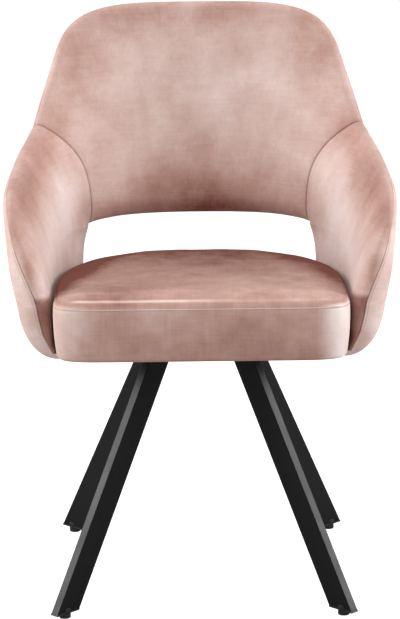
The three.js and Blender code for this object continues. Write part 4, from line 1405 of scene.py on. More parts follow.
@dataclass(frozen=True)
class SeatCushion:
    """The box cushion: a crowned top panel and a side panel, sewn together round the edge."""

    SIDE_RISES = tuple(k / 12 for k in range(1, 12)) + (0.955, 0.985)
    ROLL_RUNS = (0.25, 0.7, 1.4, 2.4, 3.8, 5.5, 7.5)

    shop: Workshop
    form: ShellForm
    velvet: bpy.types.Material
    bottom: float
    board_top: float
    front_height: float = 81.5
    rear_drop: float = 13.5
    crown: float = 4.5
    roll: float = 11.0
    bulge: float = 1.6
    seam_sink: float = 1.2
    bottom_round: float = 7.0
    front_taper: float = 0.0125
    foot_inset: float = 3.4
    recess_inset: float = 15.7
    bulge_curve: float = 0.8
    sink_from: float = 0.93
    sink_run: float = 0.07
    grid_spread: float = 0.2
    held_height: float = 14.0
    crease_depth: float = 0.8
    crease_spread: float = 1.1
    top_run: float = 7.0
    round_rings: int = 5
    plan_steps: int = 900
    half_rings: int = 30
    nap: CushionLightAndShade = CushionLightAndShade()

    @property
    def ring_points(self) -> int:
        """How many points a ring has."""
        return 8 * self.half_rings

    def seam_height(self, y: float) -> float:
        """Gives the seam's height at a depth.

        Args:
            y: Depth.

        Returns:
            The height, which falls towards the rear.
        """
        form = self.form
        share = (y + form.seat_front_reach) / (form.seat_rear_reach + form.seat_front_reach)
        return self.bottom + self.front_height - self.rear_drop * share

    def ring(self, inset: float) -> list[Vector]:
        """Gives the plan at an inset, as evenly spaced points from the front's middle round the right.

        Args:
            inset: Distance inside the cushion's widest outline.

        Returns:
            The points, as x and y.
        """
        form, fine = self.form, self.plan_steps
        half = [form.outline(form.side_gap + inset, math.pi * (k / fine - 0.5)) for k in range(fine + 1)]
        half = [Vector((p.x * (1 - self.front_taper * form.near_front(p.y)), p.y)) for p in half]
        loop = half + [Vector((-p.x, p.y)) for p in half[-2:0:-1]]
        loop.append(loop[0])
        runs = [0.0]
        for a, b in zip(loop, loop[1:]):
            runs.append(runs[-1] + (b - a).length)
        points, k = [], 0
        for m in range(self.ring_points):
            run = runs[-1] * m / self.ring_points
            while runs[k + 1] < run:
                k += 1
            points.append(loop[k].lerp(loop[k + 1], (run - runs[k]) / (runs[k + 1] - runs[k])))
        return points

    def levels(self) -> list[list[Vector]]:
        """Gives the rings from the recess for the board up to the roll above the seam.

        Returns:
            The rings, from the lowest up.
        """
        foot = self.foot_inset + self.bulge
        flat = [
            [Vector((p.x, p.y, self.board_top + FIT_GAP)) for p in self.ring(self.recess_inset)],
            [Vector((p.x, p.y, self.bottom)) for p in self.ring(self.recess_inset)],
            [Vector((p.x, p.y, self.bottom)) for p in self.ring(self.bottom_round + foot)],
        ]
        for k in range(1, self.round_rings + 1):
            angle = math.pi / 2 * k / self.round_rings
            inset = foot + self.bottom_round * (1 - math.sin(angle))
            z = self.bottom + self.bottom_round * (1 - math.cos(angle))
            flat.append([Vector((p.x, p.y, z)) for p in self.ring(inset)])
        for rise in self.SIDE_RISES:
            inset = self.foot_inset * (1 - rise)
            inset += self.bulge * (1 - math.sin(math.pi * rise) ** self.bulge_curve)
            inset += self.seam_sink * max(0.0, (rise - self.sink_from) / self.sink_run) ** 2
            low = self.bottom + self.bottom_round
            flat.append([Vector((p.x, p.y, lerp(low, self.seam_height(p.y), rise))) for p in self.ring(inset)])
        flat.append(self.seam_ring())
        for run in self.ROLL_RUNS:
            rise = self.roll * (1 - (1 - run / self.ROLL_RUNS[-1]) ** 3) ** (1 / 3)
            ring = self.ring(self.bulge + self.seam_sink + run)
            flat.append([Vector((p.x, p.y, self.seam_height(p.y) + rise)) for p in ring])
        return flat

    def seam_ring(self) -> list[Vector]:
        """Gives the points of the seam."""
        return [Vector((p.x, p.y, self.seam_height(p.y))) for p in self.ring(self.bulge + self.seam_sink)]

    def top_point(self, edge: Vector, share: float) -> Vector:
        """Gives a point of the top panel.

        Args:
            edge: The point of the panel's edge that the line from the middle reaches.
            share: How far out along that line, from 0 to 1.

        Returns:
            The point.
        """
        middle_y = (self.form.seat_rear_reach - self.form.seat_front_reach) / 2
        x, y = edge.x * share, middle_y + (edge.y - middle_y) * share
        return Vector((x, y, self.seam_height(y) + self.roll + self.crown * (1 - share**3)))

    def build(self) -> None:
        """Makes the cushion and swells its panels between their seams."""
        count = self.ring_points
        rings = self.levels()
        points = [p for ring in rings for p in ring]
        faces = []
        for r in range(len(rings) - 1):
            for k in range(count):
                nxt = (k + 1) % count
                faces.append((r * count + k, r * count + nxt, (r + 1) * count + nxt, (r + 1) * count + k))
        self.cap(points, faces, 0, lambda edge, share: Vector((edge.x * share, edge.y * share, edge.z)))
        self.cap(points, faces, (len(rings) - 1) * count, self.top_point)
        cushion = self.shop.piece("velvet_seat_cushion", points, faces)
        seam = [self.shop.place(p) for p in self.seam_ring()]
        inflate(cushion, self.held(seam), pressure=2.4, cap=3.0)
        self.subdivide(cushion)
        paint_light_and_shade(cushion, self.tone)
        # The seam's crease is darkened: partly the seam's own dark line, partly painted shade.
        paint(cushion, "seam", [self.crease(v.co) for v in cushion.data.vertices])
        finish_piece(cushion, Body.SEAT, self.velvet, ["seat_cushion"])

    def cap(
        self,
        points: list[Vector],
        faces: list[tuple[int, ...]],
        start: int,
        place: Callable[[Vector, float], Vector],
    ) -> None:
        """Closes a ring of points with a square grid.

        Args:
            points: All points; the grid's own are added.
            faces: All faces; the grid's own are added.
            start: Index of the ring's first point.
            place: Gives a point from the ring's point and how far out it lies.
        """
        size, count = self.half_rings, self.ring_points
        ring = points[start : start + count]
        lookup: dict[tuple[int, int], int] = {}
        for a in range(-size, size + 1):
            for b in range(-size, size + 1):
                level = max(abs(a), abs(b))
                along = self.square_place(a, b, level) * size / level if level else 0.0
                if level == size:
                    lookup[a, b] = start + round(along) % count
                    continue
                t = level / size
                low = int(along) % count
                edge = ring[low].lerp(ring[(low + 1) % count], along - int(along))
                lookup[a, b] = len(points)
                points.append(place(edge, t + self.grid_spread * math.sin(math.pi * t)))
        for a in range(-size, size):
            for b in range(-size, size):
                corners = ((a, b), (a + 1, b), (a + 1, b + 1), (a, b + 1))
                faces.append(tuple(lookup[c] for c in corners))

    @staticmethod
    def square_place(a: int, b: int, level: int) -> float:
        """Gives how far round a square of half side level a point lies, from the front's middle.

        Args:
            a: Place across.
            b: Place from front to rear.
            level: Half the square's side.

        Returns:
            Steps round the square, through its right side.
        """
        if b == -level:
            return float(a) if a >= 0 else 8.0 * level + a
        if a == level:
            return level + (b + level)
        if b == level:
            return 3 * level + (level - a)
        return 5 * level + (level - b)

    def held(self, seam: Sequence[Vector]) -> Callable[[Vector], float]:
        """Gives how firmly the cushion is held: its seam and its foot stay.

        Args:
            seam: The seam's points, in metres.

        Returns:
            A function that gives the hold at a place.
        """
        held_to = (self.bottom + self.held_height) * MM
        sewn = {tuple(round(v, 6) for v in place) for place in seam}

        def firmness(place: Vector) -> float:
            """Gives 1 where the cushion is sewn or rests on the board."""
            return 1.0 if place.z < held_to or tuple(round(v, 6) for v in place) in sewn else 0.0

        return firmness

    @staticmethod
    def subdivide(cushion: bpy.types.Object) -> None:
        """Smooths the cushion's panels.

        Args:
            cushion: The cushion.
        """
        select_only(cushion)
        bpy.ops.object.modifier_add(type="SUBSURF")
        subsurf = cushion.modifiers[-1]
        subsurf.levels = 1
        subsurf.render_levels = 1
        bpy.ops.object.modifier_apply(modifier=subsurf.name)

    def crease(self, place: Vector) -> float:
        """Gives how deep in the top seam's crease a place lies, from 0 to 1, which the velvet darkens: partly
        the seam's own dark line, partly painted shade in the crease.
        """
        below = self.seam_height((place.y - self.shop.axis.y) / MM) - place.z / MM
        return self.crease_depth * math.exp(-((below / self.crease_spread) ** 2))

    def tone(self, place: Vector) -> float:
        """Gives the painted light and shade.

        Args:
            place: The place, in metres.

        Returns:
            The tone.
        """
        above = place.z / MM - self.seam_height(place.y / MM)
        rise = clamp((place.z / MM - self.bottom) / self.front_height)
        tone = lerp(self.nap.on_side(place, rise), self.nap.on_top(place), smooth(above / self.top_run))
        return tone + self.nap.edge_highlight(place, above)


@dataclass(frozen=True)
class Sewing:
    """Topstitching beside the edge seams, and the welt round the cushion."""

    STITCH_PLACES = (-1.0, -0.86, -0.5, 0.0, 0.5, 0.86, 1.0)
    STITCH_SIDES = 6
    shop: Workshop
    thread: bpy.types.Material
    cloth: bpy.types.Material
    reach: float = 4.3
    pitch: float = 4.2
    length: float = 3.1
    radius: float = 0.42
    tip: float = 0.25
    roundness: float = 0.95
    heart_height: float = 600.0
    welt_radius: float = 0.9
    welt_proud: float = 0.3
    # Painted shade on the welt: deep along the sides and rear, slight at the front.
    welt_nap: tuple[float, float] = (-1.0, -0.1)
    welt_front: float = -0.2
    welt_front_run: float = 0.05

    def beside(self, line: Sequence[Vector]) -> Vector:
        """Gives the point a stitch row's distance along a line that starts on the seam.

        Args:
            line: Points across the panel.

        Returns:
            The point.
        """
        walked = 0.0
        for a, b in zip(line, line[1:]):
            step = (b - a).length
            if walked + step >= self.reach:
                return a.lerp(b, (self.reach - walked) / step)
            walked += step
        return line[-1]

    def spaced(self, path: Sequence[Vector]) -> list[tuple[Vector, Vector]]:
        """Gives the middle and direction of each stitch along a path.

        Args:
            path: The row's points.

        Returns:
            A middle and a unit direction for each stitch.
        """
        stitches, due = [], self.pitch / 2
        for a, b in zip(path, path[1:]):
            step = (b - a).length
            while step > 0 and due <= step:
                stitches.append((a.lerp(b, due / step), (b - a) / step))
                due += self.pitch
            due -= step
        return stitches

    def row(self, name: str, path: Sequence[Vector]) -> None:
        """Makes a row of stitches that lie half sunk in the cloth, their backs to the chair's heart.

        Args:
            name: The row's name.
            path: The row's points on the cloth.
        """
        points, faces = [], []
        heart, sides = Vector((0, 0, self.heart_height)), self.STITCH_SIDES
        for middle, along in self.spaced(path):
            across = along.cross(middle - heart).normalized()
            out = across.cross(along)
            start = len(points)
            for share in self.STITCH_PLACES:
                size = self.radius * max(self.tip, math.sqrt(1 - share * share * self.roundness))
                hub = middle + along * (share * self.length / 2)
                for k in range(sides):
                    turn = 2 * math.pi / sides * k
                    points.append(hub + across * (size * math.cos(turn)) + out * (size * math.sin(turn)))
            last = len(points) - sides
            for low in range(start, last, sides):
                for k in range(sides):
                    nxt = (k + 1) % sides
                    faces.append((low + k, low + nxt, low + sides + nxt, low + sides + k))
            faces.append(tuple(range(start + sides - 1, start - 1, -1)))
            faces.append(tuple(range(last, last + sides)))
        finish_piece(self.shop.piece(name, points, faces), Body.SEAT, self.thread, angle=80)

    def edges(self, shell: ShellUpholstery) -> None:
        """Stitches the outer covers beside the arms' and the back's edges.

        Args:
            shell: The covers.
        """
        arm = [[shell.face(n, Face.OUTER) for n in column] for column in shell.arm]
        back = [[shell.face(n, Face.OUTER) for n in column] for column in shell.back]
        rows = range(len(arm[0]))
        front = [self.beside([column[j] for column in arm]) for j in rows]
        rim = [self.beside(column[::-1]) for column in arm]
        pairs = ((i, j) for i in range(len(rim)) for j in rows)
        rim_start, front_end = min(pairs, key=lambda pair: (rim[pair[0]] - front[pair[1]]).length)
        arm_path = front[:front_end] + rim[rim_start:]
        back_path = [self.beside(column[::-1]) for column in back]
        for hand in Side:
            for kind, path in (("arm", arm_path), ("back", back_path)):
                turned = [Vector((p.x * hand.value, p.y, p.z)) for p in path]
                self.row(f"topstitch_{kind}_{hand.name.lower()}", turned)

    def welt(self, cushion: SeatCushion) -> None:
        """Lays the folded strip of velvet along the cushion's seam.

        Args:
            cushion: The cushion.
        """
        middle_y = (cushion.form.seat_rear_reach - cushion.form.seat_front_reach) / 2
        path = []
        for point in cushion.seam_ring():
            out = Vector((point.x, point.y - middle_y, 0)).normalized()
            path.append(point + out * self.welt_proud)
        cord = self.shop.ring_cord("cushion_welt", path, self.welt_radius)
        # Painted shade on the welt: deep along the sides and rear, slight at the front.
        paint_light_and_shade(cord, lambda p: lerp(*self.welt_nap, smooth((self.welt_front - p.y) / self.welt_front_run)))
        finish_piece(cord, Body.SEAT, self.cloth, angle=80)


def linear(code: str) -> tuple[float, float, float, float]:
    """Turns an sRGB hex colour to linear values.

    Args:
        code: The colour, such as "C8A79C".

    Returns:
        Linear red, green and blue, and 1 for alpha.
    """
    values = [int(code[k : k + 2], 16) / 255 for k in (0, 2, 4)]
    turned = [v / 12.92 if v <= 0.04045 else ((v + 0.055) / 1.055) ** 2.4 for v in values]
    return (*turned, 1.0)


def add_node(
    tree: bpy.types.NodeTree,
    kind: str,
    settings: Optional[dict[str, object]] = None,
    inputs: Optional[dict[object, object]] = None,
) -> bpy.types.Node:
    """Adds a node with its settings, values and links.

    Args:
        tree: The material's nodes.
        kind: The node's type.
        settings: Its properties.
        inputs: Values or output sockets for its inputs, by name or index.

    Returns:
        The node.
    """
    node = tree.nodes.new(kind)
    for key, value in (settings or {}).items():
        setattr(node, key, value)
    for key, value in (inputs or {}).items():
        if isinstance(value, bpy.types.NodeSocket):
            tree.links.new(value, node.inputs[key])
        else:
            node.inputs[key].default_value = value
    return node


def new_material(name: str) -> tuple[bpy.types.Material, bpy.types.NodeTree, bpy.types.NodeSocket]:
    """Makes a node material that reads a piece's own coordinates.

    Args:
        name: The finish's name.

    Returns:
        The material, its nodes and the socket that gives a point's place.
    """
    material = bpy.data.materials.new(name)
    material.use_nodes = True
    tree = material.node_tree
    tree.nodes.clear()
    return material, tree, add_node(tree, "ShaderNodeTexCoord").outputs["Object"]


def end_material(tree: bpy.types.NodeTree, settings: dict[object, object]) -> None:
    """Adds the surface shader and links it to the output.

    Args:
        tree: The material's nodes.
        settings: Values or links for the shader.
    """
    shader = add_node(tree, "ShaderNodeBsdfPrincipled", inputs=settings)
    add_node(tree, "ShaderNodeOutputMaterial", inputs={"Surface": shader.outputs[0]})


@dataclass(frozen=True)
class CrushedVelvet:
    """Polyester crushed velvet.

    Its short pile was pressed while damp, so patches lean apart: soft light and dark clouds, fine
    streaks along both threads, a pale bloom where the pile is seen from the side, and no gloss.
    The stops run from deep to pale; the tone that picks among them adds the painted light and shade that each
    piece stores to random clouds and streaks.
    """

    name: str
    upright_mm: tuple[float, float, float]
    level_mm: tuple[float, float, float]
    patch_mm: float = 78.0
    mottle_mm: float = 19.0
    pile_mm: float = 1.2  # tufts are 0.3 mm wide, and are drawn coarser so that they show
    stops: tuple[tuple[float, str], ...] = (
        (0.08, "6E4034"),
        (0.34, "AD8A7F"),
        (0.50, "C8AEA6"),
        (0.64, "DBCAC5"),
        (0.86, "EBE0DD"),
    )
    level_share: float = 0.5
    tuft_share: float = 0.3
    mottle_share: float = 0.34
    tone_base: float = 0.17
    painted_light_gain: float = 0.3
    weave_gain: float = 0.22
    cloud_gain: float = 0.44
    bloom_base: float = 0.42
    bloom_gain: float = 0.32
    seam_shade: float = 0.33
    seam_shade_colour: str = "55362D"

    def build(self) -> bpy.types.Material:
        """Makes the material.

        Returns:
            The material.
        """
        material, tree, place = new_material(self.name)

        def cloud(size: tuple[float, float, float], detail: float, rough: float) -> bpy.types.NodeSocket:
            """Gives a noise whose features have a size in millimetres along each axis.

            Args:
                size: Size of the features.
                detail: Octaves.
                rough: Strength of the finer octaves.

            Returns:
                The noise's value.
            """
            scale = tuple(1 / (v * MM) for v in size)
            spot = add_node(tree, "ShaderNodeMapping", {}, {"Vector": place, "Scale": scale})
            values = {"Vector": spot.outputs[0], "Scale": 1.0, "Detail": detail, "Roughness": rough}
            return add_node(tree, "ShaderNodeTexNoise", {}, values).outputs["Fac"]

        patches = cloud((self.patch_mm,) * 3, detail=2.0, rough=0.5)
        mottle = cloud((self.mottle_mm,) * 3, detail=3.0, rough=0.6)
        upright = cloud(self.upright_mm, detail=3.0, rough=0.62)
        level = cloud(self.level_mm, detail=3.0, rough=0.62)
        tufts = cloud((self.pile_mm,) * 3, detail=2.0, rough=0.6)
        nap = add_node(tree, "ShaderNodeAttribute", {"attribute_name": "nap"}).outputs["Fac"]
        seam = add_node(tree, "ShaderNodeAttribute", {"attribute_name": "seam"}).outputs["Fac"]

        mix, kind = "ShaderNodeMix", {"data_type": "FLOAT"}
        streaks = add_node(tree, mix, kind, {0: self.level_share, 2: upright, 3: level}).outputs[0]
        weave = add_node(tree, mix, kind, {0: self.tuft_share, 2: streaks, 3: tufts}).outputs[0]
        clouds = add_node(tree, mix, kind, {0: self.mottle_share, 2: patches, 3: mottle}).outputs[0]

        sums, kind = "ShaderNodeMath", {"operation": "MULTIPLY_ADD"}
        # The tone takes the painted light and shade that each piece stores, then the random weave and clouds.
        toned = add_node(tree, sums, kind, {0: nap, 1: self.painted_light_gain, 2: self.tone_base}).outputs[0]
        toned = add_node(tree, sums, kind, {0: weave, 1: self.weave_gain, 2: toned}).outputs[0]
        toned = add_node(tree, sums, kind, {0: clouds, 1: self.cloud_gain, 2: toned}).outputs[0]
        # The sheen's weight also follows the painted light and shade.
        bloom = add_node(
            tree, sums, {**kind, "use_clamp": True}, {0: nap, 1: self.bloom_gain, 2: self.bloom_base}
        ).outputs[0]
        # Seams darken: partly the seam's own dark line, partly painted shade in the crease.
        shade = add_node(tree, sums, kind, {0: seam, 1: self.seam_shade, 2: 0.0}).outputs[0]

        ramp = add_node(tree, "ShaderNodeValToRGB", {}, {0: toned})
        elements = ramp.color_ramp.elements
        for _ in range(len(self.stops) - len(elements)):
            elements.new(0.5)
        for element, (position, code) in zip(elements, self.stops):
            element.position, element.color = position, linear(code)
        shaded = {0: shade, 6: ramp.outputs[0], 7: linear(self.seam_shade_colour)}
        colour = add_node(tree, mix, {"data_type": "RGBA"}, shaded).outputs[2]

        fine = {"Strength": 0.22, "Distance": 0.0006, "Height": weave}
        fine = add_node(tree, "ShaderNodeBump", {}, fine).outputs[0]
        lean = {"Strength": 0.35, "Distance": 0.004, "Height": clouds, "Normal": fine}
        lean = add_node(tree, "ShaderNodeBump", {}, lean).outputs[0]
        end_material(
            tree,
            {
                "Base Color": colour,
                "Roughness": 0.85,
                "Specular IOR Level": 0.15,
                "Sheen Weight": bloom,
                "Sheen Roughness": 0.35,
                "Sheen Tint": linear("F4E2DA"),
                "Normal": lean,
            },
        )
        return material


@dataclass(frozen=True)
class PowderCoat:
    """Polyester powder coat baked on steel.

    It is satin, with a fine orange peel, and hands and shoes leave it a little duller in broad spots.
    """

    name: str
    colour: str
    roughness: tuple[float, float] = (0.31, 0.43)
    peel_mm: float = 1.6
    wear_mm: float = 45.0

    def build(self) -> bpy.types.Material:
        """Makes the material.

        Returns:
            The material.
        """
        material, tree, place = new_material(self.name)
        values = {"Vector": place, "Scale": 1 / (self.peel_mm * MM), "Detail": 2.0, "Roughness": 0.5}
        peel = add_node(tree, "ShaderNodeTexNoise", {}, values).outputs["Fac"]
        values = {"Vector": place, "Scale": 1 / (self.wear_mm * MM), "Detail": 4.0}
        wear = add_node(tree, "ShaderNodeTexNoise", {}, values).outputs["Fac"]
        values = {"Value": wear, "To Min": self.roughness[0], "To Max": self.roughness[1]}
        rough = add_node(tree, "ShaderNodeMapRange", {}, values).outputs[0]
        bump = add_node(tree, "ShaderNodeBump", {}, {"Strength": 0.18, "Distance": 0.0002, "Height": peel})
        settings = {"Base Color": linear(self.colour), "Roughness": rough, "Specular IOR Level": 0.15}
        end_material(tree, {**settings, "Normal": bump.outputs[0]})
        return material


@dataclass(frozen=True)
class MouldedPlastic:
    """Injection-moulded plastic, or thread drawn from one: a fine even grain, dull all over."""

    name: str
    colour: str
    grain_mm: float = 0.8
    roughness: float = 0.55

    def build(self) -> bpy.types.Material:
        """Makes the material.

        Returns:
            The material.
        """
        material, tree, place = new_material(self.name)
        values = {"Vector": place, "Scale": 1 / (self.grain_mm * MM), "Detail": 3.0}
        grain = add_node(tree, "ShaderNodeTexNoise", {}, values).outputs["Fac"]
        bump = add_node(tree, "ShaderNodeBump", {}, {"Strength": 0.3, "Distance": 0.0002, "Height": grain})
        settings = {"Base Color": linear(self.colour), "Roughness": self.roughness}
        end_material(tree, {**settings, "Normal": bump.outputs[0]})
        return material


@dataclass(frozen=True)
class ZincSteel:
    """Steel with bright zinc plating, whose gloss is a little cloudy."""

    name: str
    colour: str
    roughness: tuple[float, float] = (0.28, 0.46)
    cloud_mm: float = 9.0

    def build(self) -> bpy.types.Material:
        """Makes the material.

        Returns:
            The material.
        """
        material, tree, place = new_material(self.name)
        values = {"Vector": place, "Scale": 1 / (self.cloud_mm * MM), "Detail": 4.0}
        cloud = add_node(tree, "ShaderNodeTexNoise", {}, values).outputs["Fac"]
        values = {"Value": cloud, "To Min": self.roughness[0], "To Max": self.roughness[1]}
        rough = add_node(tree, "ShaderNodeMapRange", {}, values)
        settings = {"Base Color": linear(self.colour), "Metallic": 1.0, "Roughness": rough.outputs[0]}
        end_material(tree, settings)
        return material


@dataclass(frozen=True)
class BirchPlywood:
    """Birch plywood, sanded but not sealed: pale, with long grain."""

    name: str
    early: str
    late: str
    grain_per_metre: tuple[float, float, float] = (12.0, 160.0, 160.0)
    roughness: float = 0.7

    def build(self) -> bpy.types.Material:
        """Makes the material.

        Returns:
            The material.
        """
        material, tree, place = new_material(self.name)
        spot = add_node(tree, "ShaderNodeMapping", {}, {"Vector": place, "Scale": self.grain_per_metre})
        values = {"Vector": spot.outputs[0], "Scale": 1.0, "Detail": 5.0, "Distortion": 0.8}
        grain = add_node(tree, "ShaderNodeTexNoise", {}, values).outputs["Fac"]
        ramp = add_node(tree, "ShaderNodeValToRGB", {}, {0: grain})
        ramp.color_ramp.elements[0].color = linear(self.late)
        ramp.color_ramp.elements[1].color = linear(self.early)
        bump = add_node(tree, "ShaderNodeBump", {}, {"Strength": 0.2, "Distance": 0.0003, "Height": grain})
        settings = {"Base Color": ramp.outputs[0], "Roughness": self.roughness}
        end_material(tree, {**settings, "Normal": bump.outputs[0]})
        return material


@dataclass(frozen=True)
class BlackNonwoven:
    """Spun-bonded polypropylene dust cloth, with its small pressed dots."""

    name: str
    colour: str
    dot_mm: float = 1.5
    roughness: float = 0.9

    def build(self) -> bpy.types.Material:
        """Makes the material.

        Returns:
            The material.
        """
        material, tree, place = new_material(self.name)
        values = {"Vector": place, "Scale": 1 / (self.dot_mm * MM)}
        dots = add_node(tree, "ShaderNodeTexVoronoi", {}, values).outputs["Distance"]
        bump = add_node(tree, "ShaderNodeBump", {}, {"Strength": 0.5, "Distance": 0.0004, "Height": dots})
        settings = {"Base Color": linear(self.colour), "Roughness": self.roughness}
        end_material(tree, {**settings, "Normal": bump.outputs[0]})
        return material


@dataclass(frozen=True)
class LegFrame:
    """The frame's four rectangular tubes and the glides under them."""

    LEGS = ("rear_right", "rear_left", "front_left", "front_right")
    nodes: dict[str, bpy.types.Object]
    coat: bpy.types.Material
    plastic: bpy.types.Material
    corner_radius: float = 1.2
    long_edge: float = 0.3  # metres; only a tube's long corners are longer
    glide_flange: float = 7.4
    glide_overlap: float = 1.01
    glide_edge_radius: float = 1.4
    stem_radius: float = 3.0
    bevel_steps: int = 4

    def build(self) -> None:
        """Makes the tubes with their drawn corners, and turned glides."""
        for leg in self.LEGS:
            self.tube(leg)
            self.glide(leg)

    def tube(self, leg: str) -> None:
        """Rounds the long corners of a leg's tube, as drawing the steel leaves them.

        Args:
            leg: The leg's place.
        """
        tube = self.nodes[f"leg_tube_{leg}"].copy()
        tube.data = tube.data.copy()
        tube.name = f"steel_tube_{leg}"
        tube.parent = None
        bpy.context.scene.collection.objects.link(tube)
        select_only(tube)
        bpy.ops.object.mode_set(mode="EDIT")
        bpy.ops.mesh.select_all(action="SELECT")
        bpy.ops.mesh.remove_doubles(threshold=1e-6)
        bpy.ops.mesh.dissolve_limited(angle_limit=math.radians(1))
        bpy.ops.mesh.select_all(action="DESELECT")
        bpy.ops.object.mode_set(mode="OBJECT")
        corners = tube.data.vertices
        for edge in tube.data.edges:
            a, b = (corners[k].co for k in edge.vertices)
            edge.select = (a - b).length > self.long_edge
        bpy.ops.object.mode_set(mode="EDIT")
        bpy.ops.mesh.select_mode(type="EDGE")
        bpy.ops.mesh.bevel(offset=self.corner_radius * MM, segments=self.bevel_steps, clamp_overlap=True)
        bpy.ops.object.mode_set(mode="OBJECT")
        finish_piece(tube, Body.LEGS, self.coat, [f"leg_tube_{leg}"], angle=40)
        self.weigh_normals(tube)

    @staticmethod
    def weigh_normals(obj: bpy.types.Object) -> None:
        """Keeps an object's broad faces flat up to their rounded corners.

        Args:
            obj: The object.
        """
        select_only(obj)
        bpy.ops.object.modifier_add(type="WEIGHTED_NORMAL")
        weighted = obj.modifiers[-1]
        weighted.keep_sharp = True
        weighted.weight = 100
        bpy.ops.object.modifier_apply(modifier=weighted.name)

    def glide(self, leg: str) -> None:
        """Makes a turned glide with a rounded lower edge and a stem.

        Args:
            leg: The leg's place.
        """
        low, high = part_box(f"glide_{leg}")
        centre = (low + high) / 2
        radius = (high.x - low.x) / 2 * self.glide_overlap
        flange = self.glide_flange * MM
        bpy.ops.object.select_all(action="DESELECT")
        bpy.ops.mesh.primitive_cylinder_add(
            vertices=48, radius=radius, depth=flange, location=(centre.x, centre.y, flange / 2)
        )
        glide = bpy.context.active_object
        glide.name = f"turned_glide_{leg}"
        bpy.ops.object.transform_apply(location=True, rotation=True, scale=True)
        for polygon in glide.data.polygons:
            polygon.select = polygon.normal.z > 0.9
        bpy.ops.object.mode_set(mode="EDIT")
        bpy.ops.mesh.inset(thickness=radius - self.stem_radius * MM)
        bpy.ops.mesh.extrude_region_move(TRANSFORM_OT_translate={"value": (0, 0, high.z - flange)})
        bpy.ops.object.mode_set(mode="OBJECT")
        for edge in glide.data.edges:
            edge.select = all(glide.data.vertices[k].co.z < 1e-5 for k in edge.vertices)
        bpy.ops.object.mode_set(mode="EDIT")
        bpy.ops.mesh.select_mode(type="EDGE")
        bpy.ops.mesh.bevel(offset=self.glide_edge_radius * MM, segments=self.bevel_steps)
        bpy.ops.object.mode_set(mode="OBJECT")
        finish_piece(glide, Body.LEGS, self.plastic, [f"glide_{leg}"], angle=40)


@dataclass(frozen=True)
class Softbox:
    """A lamp: its place and size in metres, and its power in watts."""

    name: str
    place: tuple[float, float, float]
    width: float
    height: float
    power: float


@dataclass(frozen=True)
class Studio:
    """A pale floor, soft light and the camera."""

    SOFTBOXES = (
        Softbox("key_softbox", (-1.3, -2.9, 2.6), 2.0, 1.6, 46),
        Softbox("fill_softbox", (2.0, -2.7, 1.9), 1.8, 1.8, 30),
        Softbox("top_softbox", (0.0, 0.3, 3.0), 2.0, 1.6, 22),
        Softbox("left_strip", (-2.6, 0.05, 1.3), 0.4, 1.2, 55),
        Softbox("right_strip", (2.6, 0.05, 1.3), 0.4, 1.2, 55),
    )
    axis: Vector
    lit_height: float = 0.5
    floor_size: float = 60.0
    floor_glow: float = 0.86
    sky_strength: float = 0.5
    distance: float = 4097.7
    height: float = 1399.6
    pitch: float = 0.2321
    roll: float = 0.0095
    turn: float = 0.0069
    sensor_mm: float = 36.0
    focal_pixels: float = 2679.2
    long_side_pixels: int = 619
    centre_pixels: float = 0.6
    sight_metres: float = 100.0

    def build(self) -> None:
        """Makes the floor, the lamps, the sky and the camera."""
        self.floor()
        self.sky()
        for softbox in self.SOFTBOXES:
            self.lamp(softbox)
        self.camera()

    def floor(self) -> None:
        """Makes a wide white floor that keeps the chair's shadow."""
        bpy.ops.object.select_all(action="DESELECT")
        bpy.ops.mesh.primitive_plane_add(size=self.floor_size, location=(0, 0, 0))
        floor = bpy.context.active_object
        floor.name = "studio_floor"
        material, tree, _ = new_material("matt_white_paper")
        paint = add_node(tree, "ShaderNodeBsdfDiffuse", inputs={"Color": linear("B4B4B4")})
        rays = add_node(tree, "ShaderNodeLightPath")
        values = {0: rays.outputs["Is Camera Ray"], 1: self.floor_glow}
        level = add_node(tree, "ShaderNodeMath", {"operation": "MULTIPLY"}, values).outputs[0]
        glow = add_node(tree, "ShaderNodeEmission", inputs={"Color": linear("FFFFFF"), "Strength": level})
        both = add_node(tree, "ShaderNodeAddShader", inputs={0: paint.outputs[0], 1: glow.outputs[0]})
        add_node(tree, "ShaderNodeOutputMaterial", inputs={"Surface": both.outputs[0]})
        floor.data.materials.append(material)

    def sky(self) -> None:
        """Surrounds the chair with soft white light."""
        world = bpy.data.worlds.new("studio_sky")
        bpy.context.scene.world = world
        world.use_nodes = True
        tree = world.node_tree
        tree.nodes.clear()
        sky = {"Color": linear("FFFFFF"), "Strength": self.sky_strength}
        sky = add_node(tree, "ShaderNodeBackground", inputs=sky).outputs[0]
        add_node(tree, "ShaderNodeOutputWorld", inputs={"Surface": sky})

    def lamp(self, softbox: Softbox) -> None:
        """Adds a softbox that faces the seat.

        Args:
            softbox: The lamp's place, size and power.
        """
        data = bpy.data.lights.new(softbox.name, "AREA")
        data.shape = "RECTANGLE"
        data.size, data.size_y, data.energy = softbox.width, softbox.height, softbox.power
        lamp = bpy.data.objects.new(softbox.name, data)
        bpy.context.scene.collection.objects.link(lamp)
        lamp.location = softbox.place
        towards = Vector((0, 0, self.lit_height)) - Vector(softbox.place)
        lamp.rotation_euler = towards.to_track_quat("-Z", "Y").to_euler()

    def camera(self) -> None:
        """Sets the camera at the photograph's viewing angle."""
        data = bpy.data.cameras.new("studio_camera")
        camera = bpy.data.objects.new("studio_camera", data)
        bpy.context.scene.collection.objects.link(camera)
        data.sensor_width = self.sensor_mm
        data.lens = self.focal_pixels * data.sensor_width / self.long_side_pixels
        data.shift_x = -self.centre_pixels / self.long_side_pixels
        data.clip_end = self.sight_metres
        place = Vector((0, -self.distance, self.height)) * MM
        turn = Matrix.Rotation(-self.turn, 4, "Z")
        look = Matrix.Rotation(math.pi / 2 - self.pitch, 4, "X")
        roll = Matrix.Rotation(-self.roll, 4, "Z")
        camera.matrix_world = Matrix.Translation(self.axis) @ turn @ Matrix.Translation(place) @ look @ roll
        bpy.context.scene.camera = camera


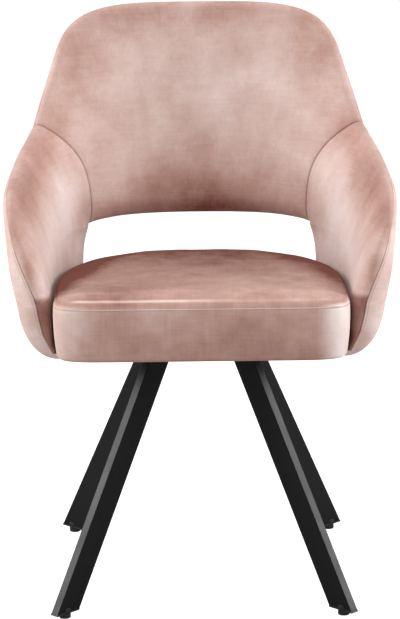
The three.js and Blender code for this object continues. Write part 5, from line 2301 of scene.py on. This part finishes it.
class Chair:
    """The whole chair, dressed."""

    def __init__(self, frame: dict) -> None:
        """Reads the frame and makes the finishes.
        """
        self.nodes = frame["nodes"]
        self.record = frame["record"]
        x, y, _ = frame["joints"][0]["pos_m"]
        self.axis = Vector((x, y, 0))
        self.shop = Workshop(self.axis)
        self.finishes = {
            "velvet": CrushedVelvet("crushed_velvet", (2.6, 2.6, 60.0), (48.0, 48.0, 2.6)).build(),
            "velvet_seat": CrushedVelvet("crushed_velvet_seat", (2.6, 60.0, 60.0), (48.0, 2.6, 2.6)).build(),
            "thread": MouldedPlastic("polyester_thread", "9A7468").build(),
            "black_paint": PowderCoat("black_powder_coat", "0E0E0F").build(),
            "black_plastic": MouldedPlastic("black_polypropylene", "08080A").build(),
            "shell_plastic": MouldedPlastic("grey_polypropylene", "2B2B2D").build(),
            "zinc_steel": ZincSteel("zinc_plated_steel", "B4B6B8").build(),
            "plywood": BirchPlywood("birch_plywood", "D9BE93", "B98F5E").build(),
            "dust_cloth": BlackNonwoven("black_dust_cloth", "17171A").build(),
        }

    def dress_nodes(self) -> None:
        """Gives every CAD node its slot's finish."""
        for part in self.record["subparts"]:
            node = self.nodes[part["node"]]
            node.data.materials.clear()
            node.data.materials.append(self.finishes[part["material_slot"]])

    def build(self) -> None:
        """Builds the sub-assemblies in order."""
        self.dress_nodes()
        form = ShellForm()
        low = min(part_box("outer_band_cover")[0].z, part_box("outer_arm_cover_left")[0].z) / MM
        shell = ShellUpholstery(self.shop, form, low, self.finishes["velvet"])
        shell.build()
        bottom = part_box("seat_cushion")[0].z / MM
        board_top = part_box("seat_board")[1].z / MM
        cushion = SeatCushion(self.shop, form, self.finishes["velvet_seat"], bottom, board_top)
        cushion.build()
        sewing = Sewing(self.shop, self.finishes["thread"], self.finishes["velvet_seat"])
        sewing.edges(shell)
        sewing.welt(cushion)
        LegFrame(self.nodes, self.finishes["black_paint"], self.finishes["black_plastic"]).build()
        Studio(self.axis).build()


def main() -> None:
    """Builds the chair over its frame."""
    logging.basicConfig(level=logging.INFO, format="%(name)s: %(message)s")
    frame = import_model()
    bpy.context.scene.view_settings.view_transform = "Standard"
    Chair(frame).build()


if __name__ == "__main__":
    main()
